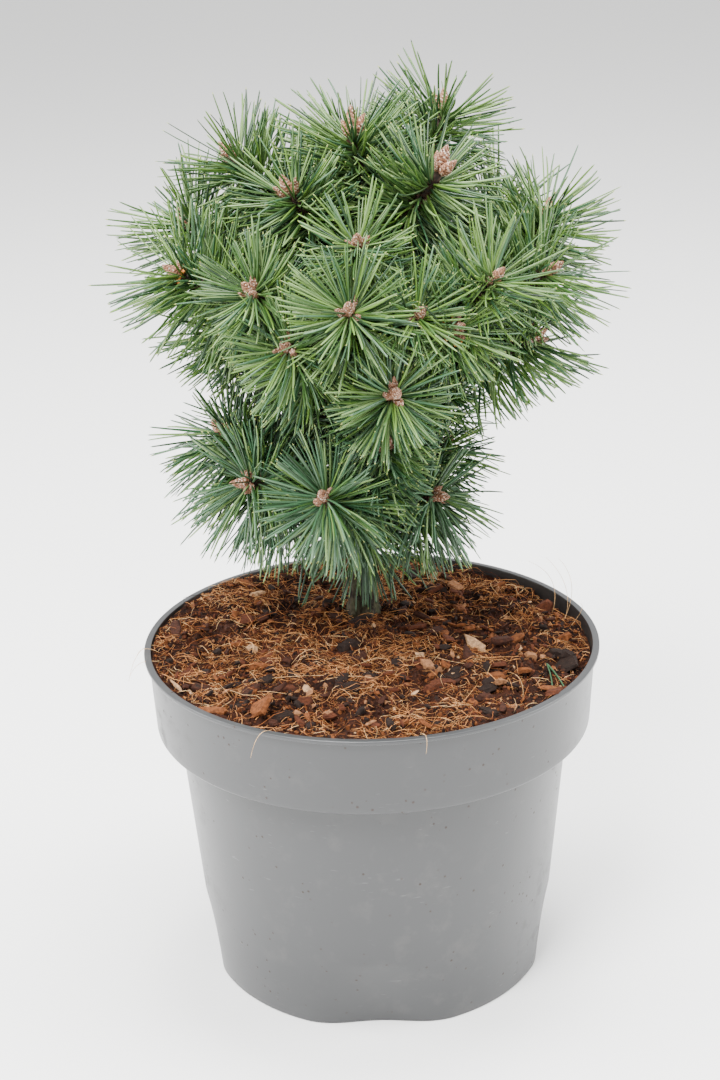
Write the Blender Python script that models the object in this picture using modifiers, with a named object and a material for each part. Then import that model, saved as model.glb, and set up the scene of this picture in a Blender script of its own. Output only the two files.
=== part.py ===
"""A young mugo pine in a round nursery pot, at its real size in metres, with +Z up.

The origin is the middle of the pot's flat underside, and -Y is the front. The trunk rises from the
potting mix, boughs leave it in four whorls, and each bough ends in a mass of shoots that carry
needles. Every piece is one closed solid and keeps a small gap to its neighbours.
"""

import math
import random

import bmesh
import bpy
import numpy as np
from mathutils import Matrix, Vector, noise

OBJECT_NAME = "mugo_pine_in_pot"
MM = 0.001
GAP = 0.3 * MM

# Pot: a thin wall with a collar, a flat lip and four shallow scallops above the base
POT_SEGMENTS = 48
POT_HEIGHT = 171 * MM
LIP_RADIUS = 113 * MM
LIP_WIDTH = 2.2 * MM
LIP_THICKNESS = 2 * MM
COLLAR_BOTTOM_RADIUS = 108.7 * MM
COLLAR_BOTTOM = 131.5 * MM
COLLAR_EDGE = 1.5 * MM
BODY_TOP_RADIUS = 98.2 * MM
BASE_RADIUS = 86.4 * MM
WALL = 1.2 * MM
FLOOR = 2.5 * MM
SCALLOP_COUNT = 4
SCALLOP_DEPTH = 6.8 * MM
SCALLOP_HEIGHT = 39 * MM
SCALLOP_HALF_ANGLE = math.radians(25)
SCALLOP_ROWS = 3
DRAIN_COUNT = 6
DRAIN_RADIUS = 5 * MM
DRAIN_CIRCLE = 55 * MM
DRAIN_SIDES = 10
DRAIN_CUT = 10 * MM

# Potting mix: fills the pot nearly to the lip, and is lower towards the back right
MIX_TOP = 168.3 * MM
MIX_RINGS = 4
MIX_CLEARANCE = 1 * MM
MIX_FALL = 7 * MM
MIX_FALL_AZIMUTH = math.radians(110)
MIX_RELIEF = 1.4 * MM
MIX_LUMP = 22 * MM
MOUND_TOP = 169.5 * MM
MOUND_RADIUS = 30 * MM
FOOT_PAD = 11 * MM

# Trunk: from the flat cut at the mix to its tip, where the leading shoot takes over
TRUNK_FOOT = Vector((-4 * MM, 33 * MM, MOUND_TOP + GAP))
TRUNK_TIP = Vector((1 * MM, 30 * MM, MOUND_TOP + 214 * MM))
TRUNK_SWAY = 3 * MM
TRUNK_RADIUS = 6.6 * MM
TRUNK_TIP_RADIUS = 2.4 * MM
FLARE_RADIUS = 2.8 * MM
FLARE_HEIGHT = 10 * MM
TRUNK_RINGS = 16
RING_CROWDING = 1.4

# Boughs and shoots
BOUGH_RADIUS = 2.5 * MM
BOUGH_TO_TRUNK = 0.55
BOUGH_TAPER = 0.8
BOUGH_COLLAR = 1.15
BOUGH_SHARE = 0.46
BOUGH_RISE_SHARE = 0.38
BOUGH_START_LIFT = math.radians(18)
BOUGH_RINGS = 4
CAP_RUN = 2 * MM
FORK_RUN = 3.5 * MM
SHOOT_RADIUS = 1.7 * MM
CORE_RADIUS = 2.5 * MM
CORE_LENGTH = 31 * MM
CORE_FOOT_RADIUS = 2.25 * MM
LEAFY_LIMIT = 0.75
BUD_RADIUS = 2.3 * MM
BUD_LENGTH = 9 * MM
BUD_WIDEST = 0.45
BUD_TIP_RADIUS = 0.4 * MM
BUD_FOOT_RADIUS = 1.84 * MM
BUD_NECK = 3 * MM
SHOOT_RINGS = 3
STEM_SAMPLES = 24
LIMB_RESOLUTION = 1
TRUNK_RESOLUTION = 3

# Needles: fewer and thicker than in life, each standing for a small spray
NEEDLES_PER_SHOOT = 16
NEEDLE_LENGTH_SPREAD = 2 * MM
NEEDLE_ROOT_RADIUS = 1.5 * MM
NEEDLE_SINK = 1.6 * MM
NEEDLE_ZONE = (1.5 * MM, 29 * MM)
BARE_FOOT = 6 * MM
SPLAY = (math.radians(50), math.radians(92))
SPLAY_JITTER = math.radians(7)
TURN_JITTER = math.radians(9)
TURN_STEP = math.radians(40)
GOLDEN_ANGLE = math.pi * (3 - math.sqrt(5))
NEEDLE_TRIES = 9
NEEDLE_CUTS = (1.0, 0.88, 0.76, 0.64, 0.52)
NEEDLE_SAMPLES = 14
NEEDLE_FREE_FROM = 0.12
TIP_SAMPLES = 3
CELL_CLEARANCE = 0.5 * MM
LIMB_CLEARANCE = 0.9 * MM
SOIL_CLEARANCE = 2.5 * MM
SITE_BACK = 12 * MM

# Each bough leaves the trunk at the first number, in mm above the mix, and ends in its shoots. A
# shoot is its azimuth, in degrees from the front towards +X, its bud's distance from the crown's
# middle line and height above the mix, in mm, the degrees that its tip lifts above level, and the
# length of its needles, in mm.
CROWN_MIDDLE = Vector((-3 * MM, 30 * MM))
BOUGHS = {
    "low_left": (47, [(-82, 68, 105, 48, 38), (-51, 71, 90, 10, 34)]),
    "low_front": (42, [(-13, 77, 93, 40, 32), (12, 58, 112, 44, 28)]),
    "low_right": (36, [(45, 52, 78, 10, 30), (90, 40, 92, 32, 32)]),
    "low_back_right": (44, [(140, 58, 95, 26, 35)]),
    "low_back_left": (39, [(-175, 68, 101, 34, 38), (-128, 66, 89, 18, 38)]),
    "middle_front_left": (101, [(-23, 81, 164, 32, 31)]),
    "middle_front": (89, [(10, 92, 146, 24, 29)]),
    "middle_right": (97, [(71, 88, 154, 32, 33), (59, 54, 150, 34, 26)]),
    "middle_back_right": (89, [(116, 74, 168, 48, 33)]),
    "middle_back": (99, [(165, 88, 155, 30, 38)]),
    "middle_back_left": (90, [(-138, 84, 157, 34, 38), (-92, 70, 155, 32, 33)]),
    "upper_left": (139, [(-73, 88, 188, 34, 38), (-38, 77, 187, 40, 30)]),
    "upper_front": (128, [(-2, 90, 184, 42, 31), (19, 84, 179, 34, 27), (1, 60, 207, 48, 28)]),
    "upper_front_right": (143, [(46, 87, 190, 46, 32), (32, 83, 169, 30, 29)]),
    "upper_right": (121, [(72, 94, 185, 34, 37), (93, 92, 206, 80, 34)]),
    "upper_back_right": (136, [(122, 88, 197, 46, 38), (148, 84, 181, 34, 38)]),
    "upper_back": (126, [(-177, 90, 193, 44, 38), (-150, 84, 183, 34, 38)]),
    "upper_back_left": (117, [(-104, 84, 203, 50, 38)]),
    "top_front_right": (187, [(53, 50, 236, 68, 33)]),
    "top_front_left": (181, [(-50, 40, 226, 62, 32)]),
    "top_back_right": (195, [(128, 56, 253, 88, 35)]),
    "top_back": (184, [(180, 52, 229, 68, 35)]),
    "top_back_left": (190, [(-109, 63, 234, 48, 34)]),
}
LEADER = "leader"
LEADER_BUD = Vector((*CROWN_MIDDLE, MOUND_TOP + 248 * MM))
LEADER_AZIMUTH = math.radians(-90)
LEADER_LIFT = math.radians(86)
LEADER_NEEDLE = 38

# Meshes
SHARP_ANGLE = math.radians(35)
WELD = 0.01 * MM
SEAM_WELD = 0.1 * MM
CUT_MARGIN = 1 * MM


def clear_scene():
    """Remove every object that the start-up scene holds."""
    for found in list(bpy.data.objects):
        bpy.data.objects.remove(found, do_unlink=True)


def new_collection(name, helper=False):
    """A collection in the scene. A helper collection stays out of renders."""
    made = bpy.data.collections.new(name)
    made.hide_render = helper
    bpy.context.scene.collection.children.link(made)
    return made


def plain_material(name, color, roughness):
    """A Principled material with one colour and roughness."""
    made = bpy.data.materials.new(name)
    made.use_nodes = True
    shader = made.node_tree.nodes["Principled BSDF"]
    shader.inputs["Base Color"].default_value = (*color, 1)
    shader.inputs["Roughness"].default_value = roughness
    shader.inputs["Metallic"].default_value = 0
    return made


def add_object(name, mesh, collection, material=None):
    """Put a mesh in the scene under a node name."""
    made = bpy.data.objects.new(name, mesh)
    collection.objects.link(made)
    if material:
        mesh.materials.clear()
        mesh.materials.append(material)
    mesh.shade_smooth()
    mesh.set_sharp_from_angle(angle=SHARP_ANGLE)
    return made


def evaluated_mesh(source):
    """The object's mesh with its modifiers or its bevel worked out."""
    graph = bpy.context.evaluated_depsgraph_get()
    graph.update()
    return bpy.data.meshes.new_from_object(source.evaluated_get(graph))


def remove_object(found):
    """Remove an object with the mesh or curve that it used."""
    data = found.data
    bpy.data.objects.remove(found, do_unlink=True)
    if isinstance(data, bpy.types.Curve):
        bpy.data.curves.remove(data)
    elif data.users == 0:
        bpy.data.meshes.remove(data)


def turned_mesh(name, profile):
    """Turn a profile of (radius, height) points once round the Z axis."""
    line = bpy.data.meshes.new(name)
    points = [(radius, 0, height) for radius, height in profile]
    line.from_pydata(points, [(i, i + 1) for i in range(len(points) - 1)], [])
    helper = bpy.data.objects.new(name, line)
    bpy.context.scene.collection.objects.link(helper)
    screw = helper.modifiers.new("turn", "SCREW")
    screw.steps = POT_SEGMENTS
    screw.render_steps = POT_SEGMENTS
    screw.use_merge_vertices = True
    screw.merge_threshold = SEAM_WELD
    mesh = evaluated_mesh(helper)
    remove_object(helper)
    mesh.name = name
    return mesh


def tube_mesh(name, points, radii, resolution=LIMB_RESOLUTION):
    """A tapering limb: a poly curve with a bevel and a radius at each point, made a closed mesh."""
    curve = bpy.data.curves.new(name, "CURVE")
    curve.dimensions = "3D"
    curve.bevel_depth = 1.0
    curve.bevel_resolution = resolution
    curve.use_fill_caps = True
    spline = curve.splines.new("POLY")
    spline.points.add(len(points) - 1)
    for control, place, radius in zip(spline.points, points, radii):
        control.co = (*place, 1)
        control.radius = radius
    helper = bpy.data.objects.new(name, curve)
    bpy.context.scene.collection.objects.link(helper)
    mesh = evaluated_mesh(helper)
    remove_object(helper)
    shape = bmesh.new()
    shape.from_mesh(mesh)
    bmesh.ops.remove_doubles(shape, verts=shape.verts, dist=WELD)
    bmesh.ops.recalc_face_normals(shape, faces=shape.faces)
    shape.to_mesh(mesh)
    shape.free()
    return mesh


def bezier(start, start_way, end, end_way, count):
    """Evenly counted points on a cubic curve between two places, leaving and arriving along two ways."""
    handle = (end - start).length / 3
    a = start + start_way * handle
    b = end - end_way * handle
    points = []
    for i in range(count + 1):
        t = i / count
        s = 1 - t
        points.append(start * s**3 + a * (3 * s * s * t) + b * (3 * s * t * t) + end * t**3)
    return points


def outward(azimuth, lift):
    """The unit vector at an azimuth from the front, lifted above level. Both are in radians."""
    level = math.cos(lift)
    return Vector((math.sin(azimuth) * level, -math.cos(azimuth) * level, math.sin(lift)))


def wall_radius(height):
    """The body's outer radius, which tapers evenly from the collar down to the base."""
    return BASE_RADIUS + (BODY_TOP_RADIUS - BASE_RADIUS) * height / COLLAR_BOTTOM


def scallop_inset(x, y, z):
    """How far the wall stands in: a smooth hollow, deepest at the base, in the middle of each scallop."""
    if z > SCALLOP_HEIGHT:
        return 0.0
    pitch = 2 * math.pi / SCALLOP_COUNT
    off = (math.atan2(y, x) + pitch / 2) % pitch - pitch / 2
    if abs(off) > SCALLOP_HALF_ANGLE:
        return 0.0
    across = math.cos(off / SCALLOP_HALF_ANGLE * math.pi / 2) ** 2
    down = math.sin((1 - z / SCALLOP_HEIGHT) * math.pi / 2)
    return SCALLOP_DEPTH * across * down


def press_scallops(mesh):
    """Move the wall's points near the base in along their radius."""
    for point in mesh.vertices:
        radius = point.co.xy.length
        if radius > DRAIN_CIRCLE + DRAIN_RADIUS:
            point.co.xy *= 1 - scallop_inset(*point.co) / radius


def wall_rows(lowest):
    """Heights up the body, from the lowest point through the scallops' rows to the collar."""
    rows = [SCALLOP_HEIGHT * i / SCALLOP_ROWS for i in range(1, SCALLOP_ROWS + 1)]
    return [lowest, *rows]


def make_pot(collection, cutters, material):
    """The pot: one thin wall turned as a closed profile, scalloped, with drain holes in its floor."""
    inner_rows = [(wall_radius(z) - WALL, z) for z in wall_rows(FLOOR)]
    outer_rows = [(wall_radius(z), z) for z in wall_rows(0)]
    ledge = COLLAR_BOTTOM + WALL
    lip_inside = LIP_RADIUS - LIP_WIDTH
    profile = [
        (0, FLOOR),
        *inner_rows,
        (BODY_TOP_RADIUS - WALL, ledge),
        (COLLAR_BOTTOM_RADIUS - WALL, ledge),
        (lip_inside - WALL, POT_HEIGHT),
        (LIP_RADIUS, POT_HEIGHT),
        (LIP_RADIUS, POT_HEIGHT - LIP_THICKNESS),
        (lip_inside, POT_HEIGHT - LIP_THICKNESS),
        (COLLAR_BOTTOM_RADIUS, COLLAR_BOTTOM + COLLAR_EDGE),
        (COLLAR_BOTTOM_RADIUS - COLLAR_EDGE, COLLAR_BOTTOM),
        (BODY_TOP_RADIUS, COLLAR_BOTTOM),
        *reversed(outer_rows),
        (0, 0),
    ]
    mesh = turned_mesh("pot", profile)
    press_scallops(mesh)
    pot = add_object("pot", mesh, collection, material)
    for i in range(DRAIN_COUNT):
        turn = 2 * math.pi * (i + 0.5) / DRAIN_COUNT
        place = Vector((math.cos(turn), math.sin(turn), 0)) * DRAIN_CIRCLE
        shape = bmesh.new()
        bmesh.ops.create_cone(
            shape,
            cap_ends=True,
            segments=DRAIN_SIDES,
            radius1=DRAIN_RADIUS,
            radius2=DRAIN_RADIUS,
            depth=DRAIN_CUT,
        )
        cutter_mesh = bpy.data.meshes.new(f"drain_{i}")
        shape.to_mesh(cutter_mesh)
        shape.free()
        cutter = add_object(f"drain_{i}", cutter_mesh, cutters)
        cutter.location = place
        cutter.hide_render = True
        cutter.display_type = "WIRE"
    drains = pot.modifiers.new("drains", "BOOLEAN")
    drains.operation = "DIFFERENCE"
    drains.operand_type = "COLLECTION"
    drains.collection = cutters
    return pot


def mix_height(x, y):
    """The potting mix's surface: level, then steeper and steeper down to one side, with soft lumps."""
    toward = (x * math.sin(MIX_FALL_AZIMUTH) - y * math.cos(MIX_FALL_AZIMUTH)) / LIP_RADIUS
    height = MIX_TOP - MIX_FALL * max(toward, 0) ** 3
    height += MIX_RELIEF * noise.noise(Vector((x, y, 0)) / MIX_LUMP)
    away = math.hypot(x - TRUNK_FOOT.x, y - TRUNK_FOOT.y)
    share = min(max((away - FOOT_PAD) / (MOUND_RADIUS - FOOT_PAD), 0), 1)
    blend = share * share * (3 - 2 * share)
    return MOUND_TOP * (1 - blend) + height * blend


def make_potting_mix(collection, material):
    """The mix: a turned solid inside the wall, whose top rings spread from the trunk's foot to the wall."""
    clear = WALL + MIX_CLEARANCE
    bottom = FLOOR + GAP
    ledge = COLLAR_BOTTOM + WALL + GAP
    rim = COLLAR_BOTTOM_RADIUS - clear
    rings = [FOOT_PAD + (rim - FOOT_PAD) * i / MIX_RINGS for i in range(MIX_RINGS + 1)]
    profile = [(0, MIX_TOP)]
    profile += [(radius, MIX_TOP) for radius in rings]
    profile += [(rim, ledge), (BODY_TOP_RADIUS - clear, ledge)]
    profile += [(wall_radius(z) - clear, z) for z in reversed(wall_rows(bottom))]
    profile += [(0, bottom)]
    mesh = turned_mesh("potting_mix", profile)
    press_scallops(mesh)
    for point in mesh.vertices:
        if point.co.z > MIX_TOP - WELD:
            share = min(max((rim - point.co.xy.length) / (rim - FOOT_PAD), 0), 1)
            point.co.xy += TRUNK_FOOT.xy * share
            point.co.z = mix_height(point.co.x, point.co.y)
    return add_object("potting_mix", mesh, collection, material)


def trunk_point(share):
    """A point on the trunk's axis: a straight lean from foot to tip with one soft sway towards +X."""
    place = TRUNK_FOOT.lerp(TRUNK_TIP, share)
    place.x += TRUNK_SWAY * math.sin(math.pi * share) ** 2
    return place


def trunk_radius(share):
    """The trunk's radius: an even taper, and a root flare that dies away above the mix."""
    height = share * (TRUNK_TIP.z - TRUNK_FOOT.z)
    taper = TRUNK_RADIUS + (TRUNK_TIP_RADIUS - TRUNK_RADIUS) * share
    return taper + FLARE_RADIUS * math.exp(-height / FLARE_HEIGHT)


def trunk_axis_at(rise):
    """The point of the trunk's axis at a height above the mix, in mm, up to its tip."""
    return trunk_point(min(rise * MM / (TRUNK_TIP.z - TRUNK_FOOT.z), 1))


def trunk_line(grow, below, above):
    """Points and radii of the trunk, grown by a clearance and run on below and above it."""
    shares = [(i / TRUNK_RINGS) ** RING_CROWDING for i in range(TRUNK_RINGS + 1)]
    points = [trunk_point(share) for share in shares]
    radii = [trunk_radius(share) + grow for share in shares]
    tip_way = (points[-1] - points[-2]).normalized()
    points = [TRUNK_FOOT - Vector((0, 0, below)), TRUNK_FOOT + Vector((0, 0, CAP_RUN)), *points[2:]]
    if above:
        points.append(points[-1] + tip_way * above)
        radii.append(radii[-1])
    return points, radii


class Shoot:
    """One leafy shoot: where its bud is, which way it points and the line that its stem follows."""

    def __init__(self, bud, way, needle):
        self.bud = bud
        self.way = way
        self.needle = needle
        self.site = bud - way * SITE_BACK
        self.points = []
        self.radii = []

    def grow(self, fork, fork_way, cap_radius=None):
        """Lay the stem from the fork to the bud's tip. The first shoot of a mass has the cap's radius."""
        tip = self.bud + self.way * BUD_LENGTH / 2
        run = CAP_RUN if cap_radius else FORK_RUN
        start = fork + fork_way * run
        line = bezier(start, fork_way, tip, self.way, STEM_SAMPLES)
        marks = [0, BUD_LENGTH * BUD_WIDEST, BUD_LENGTH, BUD_LENGTH + BUD_NECK]
        sizes = [BUD_TIP_RADIUS, BUD_RADIUS, BUD_FOOT_RADIUS, CORE_RADIUS]
        length = line_length(line)
        leafy = min(CORE_LENGTH + BUD_LENGTH, LEAFY_LIMIT * length)
        marks += [leafy]
        sizes += [CORE_FOOT_RADIUS]
        for i in range(1, SHOOT_RINGS):
            marks.append(leafy + (length - leafy) * i / SHOOT_RINGS)
            sizes.append(CORE_FOOT_RADIUS + (SHOOT_RADIUS - CORE_FOOT_RADIUS) * i / SHOOT_RINGS)
        self.points = [point_back_along(line, mark) for mark in marks]
        self.radii = sizes
        self.points.append(start)
        self.radii.append(cap_radius or SHOOT_RADIUS)
        if cap_radius:
            self.points.append(fork)
            self.radii.append(cap_radius)
        self.points.reverse()
        self.radii.reverse()


def line_length(line):
    """The length along a line of points."""
    return sum((b - a).length for a, b in zip(line, line[1:]))


def point_back_along(line, distance):
    """The point at a distance back from the end of a line of points."""
    for end, start in zip(line[::-1], line[-2::-1]):
        step = (end - start).length
        if distance <= step:
            return end.lerp(start, distance / step)
        distance -= step
    return line[0].copy()


def dense_line(points, radii):
    """Rows of x, y, z and radius, closely spaced along a limb, to measure clearances from."""
    rows = []
    for a, b, ra, rb in zip(points, points[1:], radii, radii[1:]):
        count = 1 + math.ceil((b - a).length / MM)
        for i in range(count):
            share = i / count
            rows.append((*a.lerp(b, share), ra + (rb - ra) * share))
    return np.array(rows)


def plan_limbs():
    """Work out each bough's line and its shoots' stems from the named sizes."""
    limbs = {}
    for name, (rise, shoots) in BOUGHS.items():
        root = trunk_axis_at(rise)
        grown = []
        for azimuth, reach, height, lift, needle in shoots:
            turn = math.radians(azimuth)
            foot = Vector((*CROWN_MIDDLE, MOUND_TOP + height * MM))
            bud = foot + outward(turn, 0) * reach * MM
            grown.append(Shoot(bud, outward(turn, math.radians(lift)), needle * MM))
        middle = sum((shoot.bud for shoot in grown), Vector()) / len(grown)
        reach = middle - root
        level = Vector((reach.x, reach.y, 0))
        fork = root + level * BOUGH_SHARE + Vector((0, 0, reach.z * BOUGH_RISE_SHARE))
        start_way = outward(math.atan2(level.x, -level.y), BOUGH_START_LIFT)
        fork_way = (middle - fork).normalized()
        line = bezier(root, start_way, fork - fork_way * CAP_RUN, fork_way, BOUGH_RINGS)
        line.append(fork - fork_way * GAP / 2)
        count = len(line) - 1
        thick = min(BOUGH_RADIUS, trunk_radius(rise * MM / (TRUNK_TIP.z - TRUNK_FOOT.z)) * BOUGH_TO_TRUNK)
        radii = [thick * (1 - (1 - BOUGH_TAPER) * i / count) for i in range(count + 1)]
        radii[0] *= BOUGH_COLLAR
        radii[1] *= BOUGH_COLLAR
        for i, shoot in enumerate(grown):
            shoot.grow(fork + fork_way * GAP / 2, fork_way, thick * BOUGH_TAPER if i == 0 else None)
        limbs[name] = (line, radii, grown)
    return limbs


def plan_leader():
    """The leading shoot, which carries on from the trunk's tip."""
    before = trunk_point(1 - 1 / TRUNK_RINGS)
    way = (TRUNK_TIP - before).normalized()
    shoot = Shoot(LEADER_BUD, outward(LEADER_AZIMUTH, LEADER_LIFT), LEADER_NEEDLE * MM)
    shoot.grow(TRUNK_TIP + way * GAP, way, TRUNK_TIP_RADIUS)
    return shoot


def clear_length(root, way, length, site, others, limbs):
    """The longest cut of a needle that stays in its shoot's cell, above the mix and off the limbs."""
    shares = np.linspace(NEEDLE_FREE_FROM, 1, NEEDLE_SAMPLES)
    own = np.array(site)
    middles = (others + own) / 2
    toward = others - own
    toward /= np.linalg.norm(toward, axis=1)[:, None]
    for cut in NEEDLE_CUTS:
        points = np.array(root) + np.outer(shares * length * cut, np.array(way))
        half = NEEDLE_ROOT_RADIUS * (1 - shares)
        room = ((middles[None] - points[:, None]) * toward[None]).sum(axis=2).min(axis=1)
        if (room < half + CELL_CLEARANCE).any():
            continue
        tips = points[-TIP_SAMPLES:]
        floor = np.array([mix_height(x, y) for x, y in tips[:, :2]])
        if (tips[:, 2] < floor + SOIL_CLEARANCE).any():
            continue
        apart = np.linalg.norm(points[:, None] - limbs[None, :, :3], axis=2) - limbs[None, :, 3]
        if (apart < (half + LIMB_CLEARANCE)[:, None]).any():
            continue
        return length * cut
    return 0.0


def plan_needles(shoot, others, limbs, rule):
    """Place needles up the shoot on a golden-angle spiral, steeper towards the bud."""
    needles = []
    low, high = NEEDLE_ZONE
    high = min(high, line_length(shoot.points) - BUD_LENGTH - BARE_FOOT)
    for i in range(NEEDLES_PER_SHOOT):
        share = (i + 0.5) / NEEDLES_PER_SHOOT
        back = BUD_LENGTH + low + (high - low) * share
        place = point_back_along(shoot.points, back)
        ahead = point_back_along(shoot.points, back - MM)
        axis = (ahead - place).normalized()
        side = axis.orthogonal().normalized()
        for attempt in range(NEEDLE_TRIES):
            turn = i * GOLDEN_ANGLE + attempt * TURN_STEP + rule.uniform(-TURN_JITTER, TURN_JITTER)
            splay = SPLAY[0] + (SPLAY[1] - SPLAY[0]) * share + rule.uniform(-SPLAY_JITTER, SPLAY_JITTER)
            round_way = Matrix.Rotation(turn, 3, axis) @ side
            way = (axis * math.cos(splay) + round_way * math.sin(splay)).normalized()
            root = place + round_way * (CORE_RADIUS - NEEDLE_SINK)
            length = shoot.needle + rule.uniform(-NEEDLE_LENGTH_SPREAD, NEEDLE_LENGTH_SPREAD)
            length = clear_length(root, way, length, shoot.site, others, limbs)
            if length:
                needles.append((root, way, length))
                break
    return needles


def needle_mesh(root, way, length):
    """A needle: a slim three-sided spike from its sunk root to its tip."""
    shape = bmesh.new()
    bmesh.ops.create_cone(
        shape, cap_ends=True, segments=3, radius1=NEEDLE_ROOT_RADIUS, radius2=0, depth=length
    )
    bmesh.ops.remove_doubles(shape, verts=shape.verts, dist=WELD)
    stand = Matrix.Translation(root + way * length / 2) @ way.to_track_quat("Z", "Y").to_matrix().to_4x4()
    bmesh.ops.transform(shape, matrix=stand, verts=shape.verts)
    mesh = bpy.data.meshes.new("needle")
    shape.to_mesh(mesh)
    shape.free()
    return mesh


def fuse(base, extras):
    """Join a collection's pieces to the base by one union, then remove them."""
    join = base.modifiers.new("fuse", "BOOLEAN")
    join.operation = "UNION"
    join.operand_type = "COLLECTION"
    join.collection = extras
    mesh = evaluated_mesh(base)
    base.modifiers.clear()
    base.data = mesh
    for extra in list(extras.objects):
        remove_object(extra)


def keep_largest_body(mesh):
    """Drop loose scraps and sealed hollows: every connected surface but the largest."""
    shape = bmesh.new()
    shape.from_mesh(mesh)
    waiting = set(shape.verts)
    bodies = []
    while waiting:
        front = [waiting.pop()]
        body = set(front)
        while front:
            point = front.pop()
            for edge in point.link_edges:
                other = edge.other_vert(point)
                if other in waiting:
                    waiting.discard(other)
                    body.add(other)
                    front.append(other)
        bodies.append(body)
    bodies.sort(key=len)
    scraps = [point for body in bodies[:-1] for point in body]
    bmesh.ops.delete(shape, geom=scraps, context="VERTS")
    shape.to_mesh(mesh)
    shape.free()


def make_mass(name, shoots, sites, limbs, collection, materials):
    """A mass of needles: its shoots' stems fused with the needles that stand out of them."""
    rule = random.Random(name)
    stem = tube_mesh(name, shoots[0].points, shoots[0].radii)
    mass = add_object(name, stem, collection)
    extras = new_collection(f"{name}_pieces", helper=True)
    for shoot in shoots:
        if shoot is not shoots[0]:
            add_object("stem", tube_mesh("stem", shoot.points, shoot.radii), extras)
        others = np.array([site for site in sites if site != shoot.site])
        for root, way, length in plan_needles(shoot, others, limbs, rule):
            add_object("needle", needle_mesh(root, way, length), extras)
    fuse(mass, extras)
    bpy.data.collections.remove(extras)
    keep_largest_body(mass.data)
    mass.data.name = name
    mass.data.materials.clear()
    mass.data.materials.append(materials["needles"])
    return mass


def make_bough(name, line, radii, clearance, collection, material):
    """A bough: a tapering limb from the trunk's axis, cut back to stand clear of the trunk."""
    bough = add_object(name, tube_mesh(name, line, radii), collection, material)
    cut = bough.modifiers.new("stand_clear", "BOOLEAN")
    cut.operation = "DIFFERENCE"
    cut.object = clearance
    return bough


def build():
    """Build every piece of the plant and its pot."""
    clear_scene()
    parts = new_collection(OBJECT_NAME)
    cutters = new_collection("cutters", helper=True)
    drains = new_collection("drain_cutters", helper=True)
    materials = {
        "pot": plain_material("pot_plastic", (0.35, 0.36, 0.37), 0.42),
        "mix": plain_material("potting_mix", (0.16, 0.06, 0.025), 0.95),
        "bark": plain_material("bark", (0.12, 0.085, 0.06), 0.9),
        "needles": plain_material("needles", (0.055, 0.15, 0.045), 0.5),
    }
    make_pot(parts, drains, materials["pot"])
    make_potting_mix(parts, materials["mix"])
    trunk = tube_mesh("trunk", *trunk_line(0, 0, 0), TRUNK_RESOLUTION)
    add_object("trunk", trunk, parts, materials["bark"])
    clearance_mesh = tube_mesh("clearance", *trunk_line(GAP, CUT_MARGIN, CUT_MARGIN), TRUNK_RESOLUTION)
    clearance = add_object("trunk_clearance", clearance_mesh, cutters)
    clearance.hide_render = True
    clearance.display_type = "WIRE"
    limbs = plan_limbs()
    leader = plan_leader()
    sites = [shoot.site for line, radii, shoots in limbs.values() for shoot in shoots] + [leader.site]
    lines = {"trunk": dense_line(*trunk_line(0, 0, 0))}
    for name, (line, radii, shoots) in limbs.items():
        lines[f"bough_{name}"] = dense_line(line, radii)
        lines[name] = np.vstack([dense_line(shoot.points, shoot.radii) for shoot in shoots])
        make_bough(f"bough_{name}", line, radii, clearance, parts, materials["bark"])
    lines[LEADER] = dense_line(leader.points, leader.radii)
    groups = {name: shoots for name, (line, radii, shoots) in limbs.items()}
    groups[LEADER] = [leader]
    for name, shoots in groups.items():
        others = np.vstack([rows for other, rows in lines.items() if other != name])
        make_mass(f"needles_{name}", shoots, sites, others, parts, materials)


build()
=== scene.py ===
# %% [markdown]
# # A mugo pine in its nursery pot
# The real thing is a young pine, about 29 cm tall, in a grey moulded pot that is full of coir and
# bark. This lesson dresses its construction model: each cell makes one piece or one finish, as a
# surface worked out with numpy, and puts it where the construction model's piece is.

# %% Load the frame
import math

import bpy
import numpy as np
from mathutils import Matrix, Vector


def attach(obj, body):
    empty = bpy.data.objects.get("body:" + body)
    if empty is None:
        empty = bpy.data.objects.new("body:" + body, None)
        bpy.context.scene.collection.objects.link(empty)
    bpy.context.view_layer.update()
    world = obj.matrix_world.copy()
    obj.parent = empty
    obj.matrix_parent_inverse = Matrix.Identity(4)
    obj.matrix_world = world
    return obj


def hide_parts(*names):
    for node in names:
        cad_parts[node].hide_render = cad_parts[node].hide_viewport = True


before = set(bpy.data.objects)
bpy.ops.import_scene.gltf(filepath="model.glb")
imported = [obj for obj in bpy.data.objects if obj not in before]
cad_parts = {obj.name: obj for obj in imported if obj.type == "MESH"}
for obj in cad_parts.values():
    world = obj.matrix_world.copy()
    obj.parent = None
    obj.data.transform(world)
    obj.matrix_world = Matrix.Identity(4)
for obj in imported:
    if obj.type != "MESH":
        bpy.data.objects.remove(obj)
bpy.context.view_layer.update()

MM = 0.001
print("nodes in the frame:", len(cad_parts))

# %% [markdown]
# ## Meshes from whole arrays
# A plant is thousands of needles, so nothing here loops over points. Points are one array, faces
# are arrays of four or three point numbers, and each face may have the number of a material.

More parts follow.
